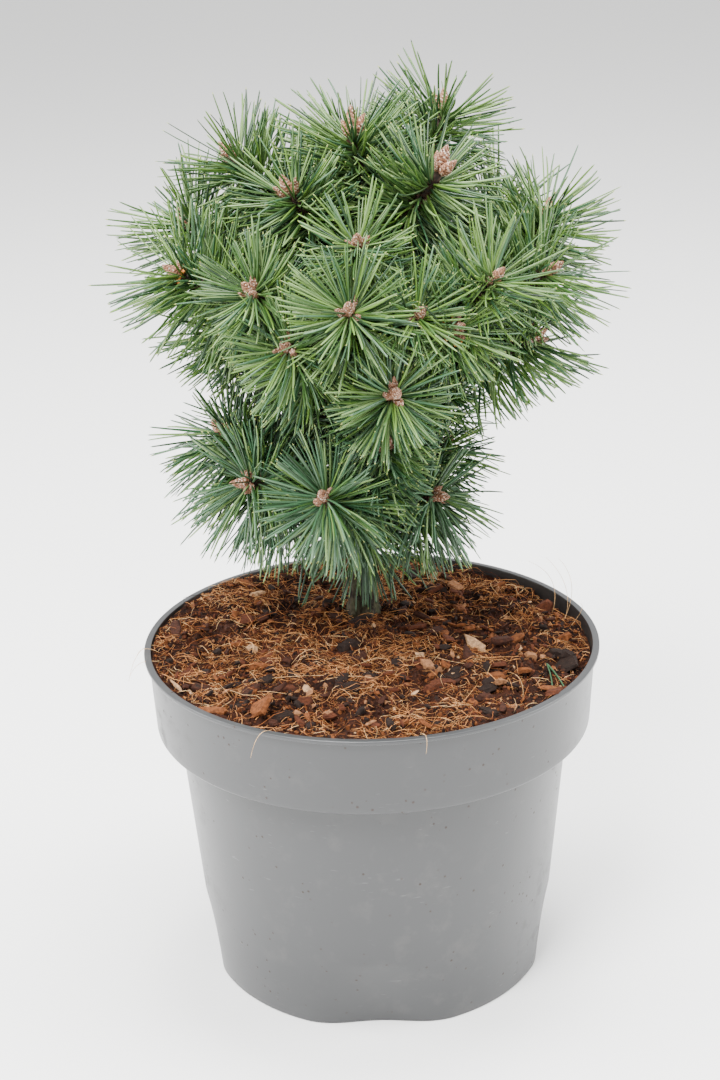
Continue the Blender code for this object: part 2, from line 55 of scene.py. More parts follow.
# %% Put arrays into a piece
def add_piece(name, points, faces, materials, kinds=None, smooth=True):
    """A piece from points (n, 3) and face arrays, each (m, 3) or (m, 4).

    kinds gives each face the number of its material.
    """
    mesh = bpy.data.meshes.new(name)
    faces = [np.asarray(part, np.int32) for part in faces if len(part)]
    sizes = np.concatenate([np.full(len(part), part.shape[1], np.int32) for part in faces])
    corners = np.concatenate([part.ravel() for part in faces])
    mesh.vertices.add(len(points))
    mesh.vertices.foreach_set("co", np.asarray(points, np.float32).ravel())
    mesh.loops.add(len(corners))
    mesh.loops.foreach_set("vertex_index", corners)
    mesh.polygons.add(len(sizes))
    starts = np.concatenate([[0], np.cumsum(sizes)[:-1]]).astype(np.int32)
    mesh.polygons.foreach_set("loop_start", starts)
    mesh.polygons.foreach_set("loop_total", sizes)
    for material in materials:
        mesh.materials.append(material)
    if kinds is not None:
        mesh.polygons.foreach_set("material_index", np.asarray(kinds, np.int32))
    mesh.polygons.foreach_set("use_smooth", np.full(len(sizes), smooth))
    mesh.update()
    mesh.validate()
    piece = bpy.data.objects.new(name, mesh)
    bpy.context.scene.collection.objects.link(piece)
    print(f"{name}: {len(points)} points, {int((sizes - 2).sum())} triangles")
    return piece


def grid_faces(rows, columns):
    """Faces of a grid whose columns close: each joins a point to the next ones along and round."""
    row, column = np.meshgrid(np.arange(rows - 1), np.arange(columns), indexing="ij")
    here = row * columns + column
    beside = row * columns + (column + 1) % columns
    return np.stack([here, beside, beside + columns, here + columns], axis=-1).reshape(-1, 4)


def closed_tube_faces(rows, columns):
    """A ring grid's faces, and a fan to a pole at each end. The two poles come after the grid."""
    turn = np.arange(columns)
    after = (turn + 1) % columns
    last = (rows - 1) * columns
    low = np.full(columns, rows * columns)
    start = np.stack([low, after, turn], axis=-1)
    end = np.stack([low + 1, last + turn, last + after], axis=-1)
    return grid_faces(rows, columns), np.vstack([start, end])


def unit(vectors):
    """The vectors at length one."""
    return vectors / np.linalg.norm(vectors, axis=-1, keepdims=True)


def smooth_step(values):
    """Values cut to 0..1 and eased: three times the square less twice the cube."""
    cut = np.clip(values, 0, 1)
    return cut * cut * (3 - 2 * cut)


# %% [markdown]
# Bark, soil and needles are all uneven, so the shapes need a noise of their own. Random numbers sit
# at the corners of a cubic lattice, and a point takes a smooth blend of the eight round it.

# %% Smooth lattice noise
# Large odd numbers that scatter a corner's three whole numbers and the seed over all values.
CORNER_FACTORS = np.array([73856093, 19349663, 83492791])
SEED_FACTOR = 7919
SHUFFLE_FACTOR = 1274126177


def lattice_noise(points, size, seed):
    """Noise from -1 to 1: a value at each corner of cells of this size, blended smoothly between."""
    scaled = np.asarray(points) / size
    corner = np.floor(scaled).astype(np.int64)
    blend = smooth_step(scaled - corner)
    total = np.zeros(scaled.shape[:-1])
    for step in np.ndindex(2, 2, 2):
        at = (corner + np.array(step)) * CORNER_FACTORS
        mixed = at[..., 0] ^ at[..., 1] ^ at[..., 2] ^ (seed * SEED_FACTOR)
        mixed = ((mixed ^ (mixed >> 13)) * SHUFFLE_FACTOR) & 0xFFFFFFFF
        value = ((mixed ^ (mixed >> 16)) & 0xFFFF) / 32767.5 - 1
        weight = np.prod(np.where(np.array(step), blend, 1 - blend), axis=-1)
        total += value * weight
    return total


def rough_noise(points, size, seed, layers=3):
    """Lattice noise in layers, each half the size and half the strength of the one before."""
    return sum(lattice_noise(points, size / 2**i, seed + i) / 2**i for i in range(layers))


# %% [markdown]
# ## Shader maths
# Each finish is a Principled material. A small class wraps a number's socket, so that a pattern is
# written as ordinary arithmetic, and one method adds any other node.

# %% Write materials as arithmetic
class Signal:
    """A number that a material works out. Arithmetic on it adds Math nodes."""

    def __init__(self, finish, socket):
        self.finish = finish
        self.socket = socket

    def maths(self, operation, *values, clamp=False):
        """A Math node with this operation on the values."""
        settings = {"operation": operation, "use_clamp": clamp}
        return self.finish.node("ShaderNodeMath", settings, dict(enumerate(values)))

    def __add__(self, other):
        return self.maths("ADD", self, other)

    def __radd__(self, other):
        return self.maths("ADD", other, self)

    def __sub__(self, other):
        return self.maths("SUBTRACT", self, other)

    def __rsub__(self, other):
        return self.maths("SUBTRACT", other, self)

    def __mul__(self, other):
        return self.maths("MULTIPLY", self, other)

    def __rmul__(self, other):
        return self.maths("MULTIPLY", other, self)

    def above(self, edge, soft):
        """0 below the edge and 1 above it, with a soft rise of the given width."""
        return self.maths("ADD", (self - edge) * (1 / soft), 0.5, clamp=True)


class Finish:
    """A Principled material with its nodes."""

    def __init__(self, name, color, roughness, **uniform):
        self.material = bpy.data.materials.new(name)
        self.material.use_nodes = True
        self.tree = self.material.node_tree
        self.shader = self.tree.nodes["Principled BSDF"]
        self.feed(self.shader.inputs["Base Color"], (*color, 1))
        self.feed(self.shader.inputs["Roughness"], roughness)
        for label, value in uniform.items():
            self.feed(self.shader.inputs[label.replace("_", " ")], value)

    def feed(self, socket, value):
        """Link a signal into a socket, or set its value."""
        if isinstance(value, Signal):
            self.tree.links.new(value.socket, socket)
        else:
            socket.default_value = value

    def node(self, kind, settings=None, values=None, output=0):
        """Add a node with its settings, then its sockets' values or links, and give one output."""
        made = self.tree.nodes.new(kind)
        for label, value in (settings or {}).items():
            setattr(made, label, value)
        for key, value in (values or {}).items():
            self.feed(made.inputs[key], value)
        return Signal(self, made.outputs[output])

    def place(self, stretch=(1, 1, 1)):
        """The point's own coordinates in metres, stretched along each axis."""
        coordinates = self.node("ShaderNodeTexCoord", output="Object")
        return self.node("ShaderNodeMapping", None, {"Vector": coordinates, "Scale": stretch})

    def noise(self, size, detail=3.0, stretch=(1, 1, 1), rough=0.5):
        """Noise from 0 to 1 whose features measure about size metres."""
        values = {"Vector": self.place(stretch), "Scale": 1 / size, "Detail": detail, "Roughness": rough}
        return self.node("ShaderNodeTexNoise", None, values)

    def cells(self, size):
        """The distance from the nearest of many scattered points, about size metres apart."""
        values = {"Vector": self.place(), "Scale": 1 / size}
        return self.node("ShaderNodeTexVoronoi", None, values, "Distance")

    def blend(self, share, first, second):
        """A colour that goes from the first to the second as share goes from 0 to 1."""
        first, second = ((*c, 1) if isinstance(c, tuple) else c for c in (first, second))
        values = {0: share, 6: first, 7: second}
        return self.node("ShaderNodeMix", {"data_type": "RGBA"}, values, 2)

    def paint(self, label, value):
        """Feed one of the shader's own sockets."""
        self.feed(self.shader.inputs[label], value)

    def bump(self, height, depth, strength=1.0):
        """Raise the surface's light by a height signal, depth metres high where it is 1."""
        values = {"Height": height, "Distance": depth, "Strength": strength}
        self.paint("Normal", self.node("ShaderNodeBump", None, values))


# %% [markdown]
# ## The camera
# The photograph looks down at the plant at about 21 degrees from 86 cm in front, with a long lens
# and a slight roll. These few numbers were fitted to the pot's rim, collar and base.

# %% Camera at the photograph's angle
CAMERA_PLACE = Vector((0.0007, -0.8634, 0.5597))
CAMERA_PITCH = 0.3716
CAMERA_YAW = -0.0059
CAMERA_ROLL = -0.02635
CAMERA_LENS = 63.2
CAMERA_FILM = 36.0

camera_data = bpy.data.cameras.new("camera")
camera_data.lens = CAMERA_LENS
camera_data.sensor_width = CAMERA_FILM
camera_data.sensor_fit = "AUTO"
camera = bpy.data.objects.new("camera", camera_data)
bpy.context.scene.collection.objects.link(camera)
level = math.cos(CAMERA_PITCH)
fall = -math.sin(CAMERA_PITCH)
ahead = Vector((math.sin(CAMERA_YAW) * level, math.cos(CAMERA_YAW) * level, fall))
right = Vector((math.cos(CAMERA_YAW), -math.sin(CAMERA_YAW), 0))
up = right.cross(ahead)
turned_right = right * math.cos(CAMERA_ROLL) + up * math.sin(CAMERA_ROLL)
turned_up = up * math.cos(CAMERA_ROLL) - right * math.sin(CAMERA_ROLL)
turning = Matrix((turned_right, turned_up, -ahead)).transposed().to_4x4()
camera.matrix_world = Matrix.Translation(CAMERA_PLACE) @ turning
bpy.context.scene.camera = camera
print("camera looks down by", round(math.degrees(CAMERA_PITCH), 1), "degrees")

# %% [markdown]
# ## Light and floor
# A plant is photographed for sale in flat, bright light, so that every needle shows. A wide soft
# lamp hangs in front and above, one hangs overhead, two weaker ones fill the sides, and a pale
# world does the rest.

# %% Studio light on a pale floor
FLOOR_HALF = 6.0
WORLD_STRENGTH = 1.35
AIM_HEIGHT = 0.25
floor_finish = Finish("studio_floor", (0.86, 0.86, 0.85), 0.6)
floor_mesh = bpy.data.meshes.new("studio_floor")
floor_corners = [(FLOOR_HALF * x, FLOOR_HALF * y, 0) for x, y in ((-1, -1), (1, -1), (1, 1), (-1, 1))]
floor_mesh.from_pydata(floor_corners, [], [(0, 1, 2, 3)])
floor_mesh.materials.append(floor_finish.material)
floor = bpy.data.objects.new("studio_floor", floor_mesh)
bpy.context.scene.collection.objects.link(floor)

world = bpy.data.worlds.new("studio_air")
world.use_nodes = True
sky = world.node_tree.nodes["Background"]
sky.inputs["Color"].default_value = (1.0, 1.0, 1.0, 1)
sky.inputs["Strength"].default_value = WORLD_STRENGTH
bpy.context.scene.world = world

# Each lamp: its place in metres, its width in metres and its power in watts.
LAMPS = {
    "key": ((-0.6, -1.1, 1.9), 0.9, 105.0),
    "left_fill": ((-1.6, 0.1, 1.0), 1.0, 42.0),
    "right_fill": ((1.6, 0.0, 1.0), 1.0, 42.0),
    "top": ((0.1, 0.3, 2.1), 0.9, 85.0),
}
for label, (place, size, power) in LAMPS.items():
    lamp_data = bpy.data.lights.new(label, "AREA")
    lamp_data.shape = "DISK"
    lamp_data.size = size
    lamp_data.energy = power
    lamp = bpy.data.objects.new(label, lamp_data)
    lamp.location = place
    aim = Vector((0, 0, AIM_HEIGHT)) - Vector(place)
    lamp.rotation_euler = aim.to_track_quat("-Z", "Y").to_euler()
    bpy.context.scene.collection.objects.link(lamp)
print("lamps:", len(LAMPS))

# %% [markdown]
# ## The pot
# The real pot is one thin injection moulding: a body that tapers to the base, a ledge out to a
# near-upright collar, and a thin flat lip. Four shallow scallops let water out at the base. A closed
# section is rounded at its corners and turned, and the scallops press both sides of the wall in.

# %% The pot's section
POT_HEIGHT = 171 * MM
LIP_RADIUS = 113 * MM
LIP_WIDTH = 2.2 * MM
LIP_THICKNESS = 2 * MM
COLLAR_BOTTOM_RADIUS = 108.7 * MM
COLLAR_BOTTOM = 131.5 * MM
BODY_TOP_RADIUS = 98.2 * MM
BASE_RADIUS = 86.4 * MM
WALL = 1.2 * MM
POT_FLOOR = 2.5 * MM
SCALLOP_DEPTH = 6.8 * MM
SCALLOP_HEIGHT = 39 * MM
SCALLOP_HALF_ANGLE = math.radians(25)
SCALLOP_START = 62 * MM
DRAIN_COUNT = 6
DRAIN_RADIUS = 5 * MM
DRAIN_CIRCLE = 55 * MM
POT_COLUMNS = 288
POT_STEP = 2.6 * MM
ARC_POINTS = 5
SHARP_ANGLE = math.radians(50)


# %% A section with rounded corners
def rounded_section(corners, step):
    """Points along straight runs and arcs. Each corner is a radius, a height and its arc's radius."""
    places = np.array([corner[:2] for corner in corners])
    rounds = [corner[2] for corner in corners]
    line = [places[:1]]
    for i in range(1, len(corners)):
        if i == len(corners) - 1 or not rounds[i]:
            target = places[i][None]
        else:
            before = unit(places[i - 1] - places[i])
            after = unit(places[i + 1] - places[i])
            half_angle = math.acos(float(np.clip(before @ after, -1, 1))) / 2
            reach = rounds[i] / math.tan(half_angle)
            first = places[i] + before * reach
            last = places[i] + after * reach
            share = np.linspace(0, 1, ARC_POINTS)[:, None]
            target = first * (1 - share) ** 2 + places[i] * (2 * share * (1 - share))
            target = target + last * share**2
        start = line[-1][-1]
        count = max(1, math.ceil(np.linalg.norm(target[0] - start) / step))
        line.append(start + (target[0] - start) * np.linspace(0, 1, count + 1)[1:, None])
        if len(target) > 1:
            line.append(target[1:])
    return np.vstack(line)


def wall_radius(height):
    """The body's outer radius at a height: an even taper from collar to base."""
    return BASE_RADIUS + (BODY_TOP_RADIUS - BASE_RADIUS) * height / COLLAR_BOTTOM


def scallop_inset(angle, height, radius):
    """How far the wall stands in: a squared cosine across a scallop, and a sine down to the base."""
    off = (angle + math.pi / 4) % (math.pi / 2) - math.pi / 4
    across = np.cos(np.clip(off / SCALLOP_HALF_ANGLE, -1, 1) * math.pi / 2) ** 2
    down = np.sin(np.clip(1 - height / SCALLOP_HEIGHT, 0, 1) * math.pi / 2)
    outwards = np.clip((radius - SCALLOP_START) / (BASE_RADIUS - SCALLOP_START), 0, 1)
    return SCALLOP_DEPTH * across * down * outwards


def turned_points(section, columns):
    """A section turned clockwise round Z, as rings and two poles. Its left side faces out."""
    angle = np.arange(columns) * -2 * math.pi / columns
    radius, height = section[1:-1, 0][:, None], section[1:-1, 1][:, None]
    reach = radius - scallop_inset(angle[None], height, radius)
    level = height + 0 * angle[None]
    rings = np.stack([reach * np.cos(angle), reach * np.sin(angle), level], axis=-1)
    poles = np.array([(0, 0, section[0, 1]), (0, 0, section[-1, 1])])
    return rings, poles


# %% Turn and scallop the pot
lip_inside = LIP_RADIUS - LIP_WIDTH
ledge = COLLAR_BOTTOM + WALL
pot_section = rounded_section(
    [
        (0, POT_FLOOR, 0),
        (wall_radius(POT_FLOOR) - WALL, POT_FLOOR, 2 * MM),
        (BODY_TOP_RADIUS - WALL, ledge, 1.5 * MM),
        (COLLAR_BOTTOM_RADIUS - WALL, ledge, 1.0 * MM),
        (lip_inside - WALL, POT_HEIGHT, 0.5 * MM),
        (LIP_RADIUS, POT_HEIGHT, 0.7 * MM),
        (LIP_RADIUS, POT_HEIGHT - LIP_THICKNESS, 0.7 * MM),
        (lip_inside, POT_HEIGHT - LIP_THICKNESS, 0.6 * MM),
        (COLLAR_BOTTOM_RADIUS, COLLAR_BOTTOM, 1.6 * MM),
        (BODY_TOP_RADIUS, COLLAR_BOTTOM, 1.2 * MM),
        (BASE_RADIUS, 0, 1.2 * MM),
        (0, 0, 0),
    ],
    POT_STEP,
)
pot_rings, pot_poles = turned_points(pot_section, POT_COLUMNS)
pot_quads, pot_fans = closed_tube_faces(len(pot_rings), POT_COLUMNS)
pot_points = np.vstack([pot_rings.reshape(-1, 3), pot_poles])
print("pot section:", len(pot_section), "points, turned in", POT_COLUMNS, "columns")

# %% [markdown]
# The plastic is a satin mid grey. Handling leaves fine pale scratches, dust clings in soft clouds,
# and specks of the mix dry on here and there. Only colour, roughness and a faint bump vary.

# %% Grey moulded plastic
pot_finish = Finish("pot_plastic", (0.06, 0.06, 0.062), 0.4)
cloud = pot_finish.noise(0.06, 4.0)
dust = pot_finish.noise(0.012, 5.0, rough=0.65).above(0.62, 0.2) * cloud.above(0.5, 0.3)
scratches = pot_finish.noise(0.0012, 2.0, stretch=(0.16, 0.16, 1.0)).above(0.7, 0.06)
scratches = scratches * pot_finish.noise(0.025, 2.0).above(0.58, 0.12)
specks = (1 - pot_finish.cells(0.005)).above(0.87, 0.04)
specks = specks * pot_finish.noise(0.02, 2.0).above(0.54, 0.08)
tone = pot_finish.blend(cloud, (0.032, 0.033, 0.034), (0.042, 0.043, 0.045))
tone = pot_finish.blend(dust * 0.35, tone, (0.11, 0.106, 0.1))
tone = pot_finish.blend(scratches * 0.3, tone, (0.16, 0.16, 0.16))
tone = pot_finish.blend(specks * 0.8, tone, (0.03, 0.016, 0.01))
pot_finish.paint("Base Color", tone)
pot_finish.paint("Roughness", 0.27 + cloud * 0.14 + dust * 0.25 + specks * 0.3)
grain = pot_finish.noise(0.0011, 3.0)
pot_finish.bump(grain * 0.25 + scratches * -0.5 + specks, 0.00012, 0.6)

# The inside is near black: partly a darker inner layer of plastic, partly painted shade inside the pot.
inside_finish = Finish("pot_inside", (0.016, 0.016, 0.017), 0.45)
inside_cloud = inside_finish.noise(0.02, 4.0)
inside_tone = inside_finish.blend(inside_cloud, (0.012, 0.012, 0.013), (0.03, 0.027, 0.025))
inside_finish.paint("Base Color", inside_tone)
inside_finish.bump(inside_finish.noise(0.0015, 3.0), 0.0001, 0.5)
print("pot finishes:", pot_finish.material.name, inside_finish.material.name)

# %% Place the wall and drill the floor
DRILL_SIDES = 24
inner_rows = int(np.argmax(pot_section[:, 1] > POT_HEIGHT - 0.1 * MM)) - 1
inner_quads = np.repeat(np.arange(len(pot_rings) - 1) < inner_rows - 1, POT_COLUMNS)
inner_fans = np.repeat([True, False], POT_COLUMNS)
pot = add_piece(
    "pot_shell",
    pot_points,
    [pot_quads, pot_fans],
    [pot_finish.material, inside_finish.material],
    np.concatenate([inner_quads, inner_fans]),
)
drill_turn = np.arange(DRILL_SIDES) * 2 * math.pi / DRILL_SIDES
drill_ring = DRAIN_RADIUS * np.stack([np.cos(drill_turn), np.sin(drill_turn)], axis=-1)
drill_quads, drill_fans = closed_tube_faces(2, DRILL_SIDES)
drill_points, drill_faces = [], []
for i in range(DRAIN_COUNT):
    around = 2 * math.pi * (i + 0.5) / DRAIN_COUNT
    middle = np.array([math.cos(around), math.sin(around)]) * DRAIN_CIRCLE
    ends = (-POT_FLOOR, 2 * POT_FLOOR)
    rings = [np.column_stack([drill_ring + middle, np.full(DRILL_SIDES, z)]) for z in ends]
    poles = np.array([[*middle, z] for z in ends])
    offset = sum(len(made) for made in drill_points)
    drill_points.append(np.vstack([*rings, poles]))
    drill_faces += [drill_quads + offset, drill_fans + offset]
drill = add_piece("drain_drill", np.vstack(drill_points), drill_faces, [])
holes = pot.modifiers.new("drain_holes", "BOOLEAN")
holes.operation = "DIFFERENCE"
holes.object = drill
graph = bpy.context.evaluated_depsgraph_get()
drilled = bpy.data.meshes.new_from_object(pot.evaluated_get(graph))
pot.modifiers.clear()
pot.data = drilled
bpy.data.objects.remove(drill)
pot.data.shade_smooth()
pot.data.set_sharp_from_angle(angle=SHARP_ANGLE)
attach(pot, "root")
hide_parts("pot")
print("pot triangles:", sum(len(face.vertices) - 2 for face in pot.data.polygons))

# %% [markdown]
# ## The potting mix
# The mix is coir fibre, crumbs and bark chips. Its ground is one turned solid, as the root ball is,
# with a fine uneven top. Crumbs, chips and fibres then lie on it, because a bump alone looks flat.

# %% The lie of the mix
MIX_TOP = 168.3 * MM
MIX_FALL = 7 * MM
MIX_FALL_AZIMUTH = math.radians(110)
MOUND_TOP = 169.5 * MM
MOUND_RADIUS = 30 * MM
FOOT_PAD = 11 * MM
TRUNK_FOOT = np.array([-4 * MM, 33 * MM, MOUND_TOP])
MIX_ROWS = 132
MIX_COLUMNS = 560
MIX_RIM = 109.35 * MM
SWELL_HEIGHT = 0.8 * MM
SWELL_SIZE = 24 * MM
LUMP_BASE = 2.0 * MM
LUMP_HEIGHT = 2.3 * MM
LUMP_SIZE = 9 * MM
HOLLOW_DEPTH = 3.6 * MM
HOLLOW_SIZE = 5 * MM
EDGE_LIFT = 1.0 * MM
EDGE_START = 2 * MM
EDGE_WIDTH = 8 * MM


def mix_height(x, y):
    """The mix's surface: a fall to one side by a cube, a mound, and three sizes of uneven noise."""
    toward = (x * math.sin(MIX_FALL_AZIMUTH) - y * math.cos(MIX_FALL_AZIMUTH)) / LIP_RADIUS
    height = MIX_TOP - MIX_FALL * np.maximum(toward, 0) ** 3
    flat = np.stack([x, y, 0 * x], axis=-1)
    height = height + SWELL_HEIGHT * lattice_noise(flat, SWELL_SIZE, 3)
    away = np.hypot(x - TRUNK_FOOT[0], y - TRUNK_FOOT[1])
    share = smooth_step((away - FOOT_PAD) / (MOUND_RADIUS - FOOT_PAD))
    height = MOUND_TOP * (1 - share) + height * share
    lumps = LUMP_BASE + LUMP_HEIGHT * lattice_noise(flat, LUMP_SIZE, 5)
    hollows = HOLLOW_DEPTH * np.abs(rough_noise(flat, HOLLOW_SIZE, 8))
    inwards = smooth_step((MIX_RIM + EDGE_START - np.hypot(x, y)) / EDGE_WIDTH)
    return height + (lumps - hollows) * inwards + EDGE_LIFT * (1 - inwards)


# %% Turn the ground of the mix
# The mix keeps a small gap to the wall, and a smaller one to the ledge and the floor.
MIX_GAP = 0.6 * MM
MIX_CLEAR = 0.4 * MM
MIX_SHOULDER = (108.0 * MM, 150 * MM)
MIX_COLLAR_FOOT = 107.2 * MM
MIX_SIDE_ROWS = 8
mix_share = np.linspace(0, 1, MIX_ROWS + 1)[1:]
mix_angle = np.arange(MIX_COLUMNS) * -2 * math.pi / MIX_COLUMNS
out_x, out_y = np.cos(mix_angle)[None], np.sin(mix_angle)[None]
spread = mix_share[:, None]
top_x = TRUNK_FOOT[0] * (1 - spread) + spread * MIX_RIM * out_x
top_y = TRUNK_FOOT[1] * (1 - spread) + spread * MIX_RIM * out_y
top_rings = np.stack([top_x, top_y, mix_height(top_x, top_y)], axis=-1)
mix_bottom = POT_FLOOR + MIX_CLEAR
side_rows = [MIX_SHOULDER, (MIX_COLLAR_FOOT, ledge + MIX_CLEAR)]
side_rows += [(BODY_TOP_RADIUS - WALL - MIX_GAP, ledge + MIX_CLEAR)]
side_heights = np.linspace(SCALLOP_HEIGHT, mix_bottom, MIX_SIDE_ROWS)
side_rows += [(wall_radius(z) - WALL - MIX_GAP, z) for z in side_heights]
side_section = np.array([(0, MIX_TOP), *side_rows, (0, mix_bottom)])
side_rings, mix_poles = turned_points(side_section, MIX_COLUMNS)
mix_poles[0] = TRUNK_FOOT
mix_rings = np.concatenate([top_rings, side_rings])
mix_faces = closed_tube_faces(len(mix_rings), MIX_COLUMNS)
mix_low, mix_high = top_rings[..., 2].min() / MM, top_rings[..., 2].max() / MM
print("mix stands between", round(mix_low, 1), "and", round(mix_high, 1), "mm")

# %% Dark crumbly soil, near black as painted shade in its gaps
# The ground is near black: partly the dark soil of the mix, partly painted shade in the deep gaps
# between fibres, crumbs and chips.
mix_finish = Finish("potting_mix", (0.14, 0.05, 0.02), 0.95, Specular_IOR_Level=0.15)
crumb = mix_finish.noise(0.004, 6.0, rough=0.7)
patch = mix_finish.noise(0.025, 3.0)
fleck = (1 - mix_finish.cells(0.0022)).above(0.72, 0.15)
earth_and_gap_shade = mix_finish.blend(crumb.above(0.55, 0.3), (0.0025, 0.0009, 0.0005), (0.03, 0.0078, 0.003))
earth_and_gap_shade = mix_finish.blend(patch.above(0.55, 0.3) * 0.35, earth_and_gap_shade, (0.07, 0.02, 0.007))
earth_and_gap_shade = mix_finish.blend(fleck * 0.25, earth_and_gap_shade, (0.15, 0.055, 0.02))
mix_finish.paint("Base Color", earth_and_gap_shade)
mix_finish.paint("Roughness", 0.85 + crumb * 0.12)
mix_finish.bump(crumb + fleck * 0.4, 0.0012)
mix_points = np.vstack([mix_rings.reshape(-1, 3), mix_poles])
mix = add_piece("mix_ground", mix_points, mix_faces, [mix_finish.material])
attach(mix, "root")
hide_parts("potting_mix")

# %% [markdown]
# Chips of bark are ragged flat plates. One array holds every chip: a ring of uneven corners at
# three levels with a pole above and below, stretched, tilted and dropped on the ground.

# %% Tints of bark
CHIP_TINTS = [
    (0.012, 0.006, 0.004),
    (0.03, 0.0095, 0.0045),
    (0.06, 0.0165, 0.006),
    (0.12, 0.038, 0.011),
    (0.2, 0.09, 0.04),
    (0.34, 0.2, 0.105),
]
BLACK, DARK, RED, RUST, TAN, PALE = range(len(CHIP_TINTS))


def mottled_and_shaded(label, tint, size, roughness):
    """A dull finish with an uneven tint, with painted shade in its hollows and a painted highlight on
    its high spots.
    """
    finish = Finish(label, tint, roughness, Specular_IOR_Level=0.18)
    spots = finish.noise(size, 4.0, rough=0.65)
    dark, pale = (tuple(c * share for c in tint) for share in (0.5, 1.4))
    # The same noise is the bump: its low spots take the darker tint as painted shade, its high spots the
    # paler tint as painted highlight.
    finish.paint("Base Color", finish.blend(spots.above(0.5, 0.35), dark, pale))
    finish.bump(spots, size * 0.3)
    return finish.material


chip_materials = [
    mottled_and_shaded(f"chip_tint_{i}", tint, size=1.6 * MM, roughness=0.85) for i, tint in enumerate(CHIP_TINTS)
]


# %% Ragged plates in any number
def scatter_on_mix(count, rng, edge=2 * MM):
    """Places spread evenly over the mix, clear of the trunk's foot and of the wall."""
    radius = (MIX_RIM - edge) * np.sqrt(rng.random(count))
    turn = rng.random(count) * 2 * math.pi
    x, y = radius * np.cos(turn), radius * np.sin(turn)
    off = np.hypot(x - TRUNK_FOOT[0], y - TRUNK_FOOT[1])
    keep = off > FOOT_PAD * 0.8
    return x[keep], y[keep]


def turned_frames(heading, tilt, tilt_way):
    """Rotations (n, 3, 3): turned by a heading about Z, then tilted about a level axis."""
    spin = np.zeros((len(heading), 3, 3))
    spin[:, 0, 0] = np.cos(heading)
    spin[:, 0, 1] = -np.sin(heading)
    spin[:, 1, 0] = np.sin(heading)
    spin[:, 1, 1] = np.cos(heading)
    spin[:, 2, 2] = 1
    axis = np.stack([np.cos(tilt_way), np.sin(tilt_way), 0 * tilt_way], axis=-1)
    cross = np.zeros((len(heading), 3, 3))
    cross[:, 0, 1], cross[:, 0, 2], cross[:, 1, 2] = -axis[:, 2], axis[:, 1], -axis[:, 0]
    cross[:, 1, 0], cross[:, 2, 0], cross[:, 2, 1] = axis[:, 2], -axis[:, 1], axis[:, 0]
    sine, cosine = np.sin(tilt)[:, None, None], np.cos(tilt)[:, None, None]
    lean = np.eye(3)[None] + sine * cross + (1 - cosine) * (cross @ cross)
    return lean @ spin


def repeated_faces(parts, count, stride):
    """One shape's faces for each of count copies whose points follow one another at a stride."""
    steps = (np.arange(count) * stride)[:, None, None]
    return [(faces[None] + steps).reshape(-1, faces.shape[1]) for faces in parts]


def repeated_kinds(parts, kinds):
    """Each copy's material number, for every face of that copy."""
    return np.concatenate([np.repeat(kinds, len(faces)) for faces in parts])


def plates(name, places, lengths, widths, depths, tilts, rng, kinds, corners, headings=None):
    """Ragged plates: uneven rings at three levels between two poles, one plate for each place."""
    count = len(lengths)
    turn = np.arange(corners) * 2 * math.pi / corners + rng.uniform(-0.25, 0.25, (count, corners))
    ragged = rng.uniform(0.5, 1.15, (count, 1, corners))
    ragged = ragged * rng.uniform(0.85, 1.1, (count, 3, corners))
    level = np.array([-0.5, 0.05, 0.5])[None, :, None]
    level = level + rng.uniform(-0.18, 0.18, (count, 3, corners))
    reach = ragged * np.array([0.8, 1.0, 0.78])[None, :, None]
    x = reach * np.cos(turn)[:, None] * lengths[:, None, None] / 2
    y = reach * np.sin(turn)[:, None] * widths[:, None, None] / 2
    z = level * depths[:, None, None]
    rings = np.stack([x, y, z], axis=-1).reshape(count, -1, 3)
    poles = np.zeros((count, 2, 3))
    poles[:, 0, 2], poles[:, 1, 2] = -0.6 * depths, 0.6 * depths
    body = np.concatenate([rings, poles], axis=1)
    headings = rng.random(count) * 2 * math.pi if headings is None else headings
    frames = turned_frames(headings, tilts, rng.random(count) * 2 * math.pi)
    body = np.einsum("nij,nkj->nki", frames, body) + places[:, None]
    parts = closed_tube_faces(3, corners)
    faces = repeated_faces(parts, count, body.shape[1])
    kinds = repeated_kinds(parts, kinds)
    return add_piece(name, body.reshape(-1, 3), faces, chip_materials, kinds, smooth=False)


# %% Bark chips and crumbs on the mix
CHIP_COUNT = 520
CHIP_EDGE = 6 * MM
CHIP_LENGTH = 6.0 * MM
CHIP_LENGTH_SPREAD = 0.5
CHIP_LONGEST = 17 * MM
CHIP_DEPTHS = (0.7 * MM, 2.6 * MM)
CHIP_LIFTS = (0.5 * MM, 2.8 * MM)
CHIP_SHARES = [0.23, 0.25, 0.26, 0.17, 0.06, 0.03]
CRUMB_COUNT = 5600
CRUMB_SIZES = (0.9 * MM, 2.8 * MM)
CRUMB_SHARES = [0.26, 0.28, 0.24, 0.16, 0.05, 0.01]
rng = np.random.default_rng(41)
chip_x, chip_y = scatter_on_mix(CHIP_COUNT, rng, CHIP_EDGE)
chip_length = rng.lognormal(math.log(CHIP_LENGTH), CHIP_LENGTH_SPREAD, len(chip_x))
chip_length = np.minimum(chip_length, CHIP_LONGEST)
chip_z = mix_height(chip_x, chip_y) + rng.uniform(*CHIP_LIFTS, len(chip_x))
chips = plates(
    "bark_chips",
    np.stack([chip_x, chip_y, chip_z], axis=-1),
    chip_length,
    chip_length * rng.uniform(0.35, 0.8, len(chip_x)),
    np.clip(chip_length * rng.uniform(0.12, 0.28, len(chip_x)), *CHIP_DEPTHS),
    rng.uniform(0, 0.85, len(chip_x)),
    rng,
    rng.choice(len(CHIP_TINTS), len(chip_x), p=CHIP_SHARES),
    corners=6,
)
crumb_x, crumb_y = scatter_on_mix(CRUMB_COUNT, rng)
crumb_size = rng.uniform(*CRUMB_SIZES, len(crumb_x))
crumb_z = mix_height(crumb_x, crumb_y) + crumb_size * rng.uniform(0.0, 0.4, len(crumb_x))
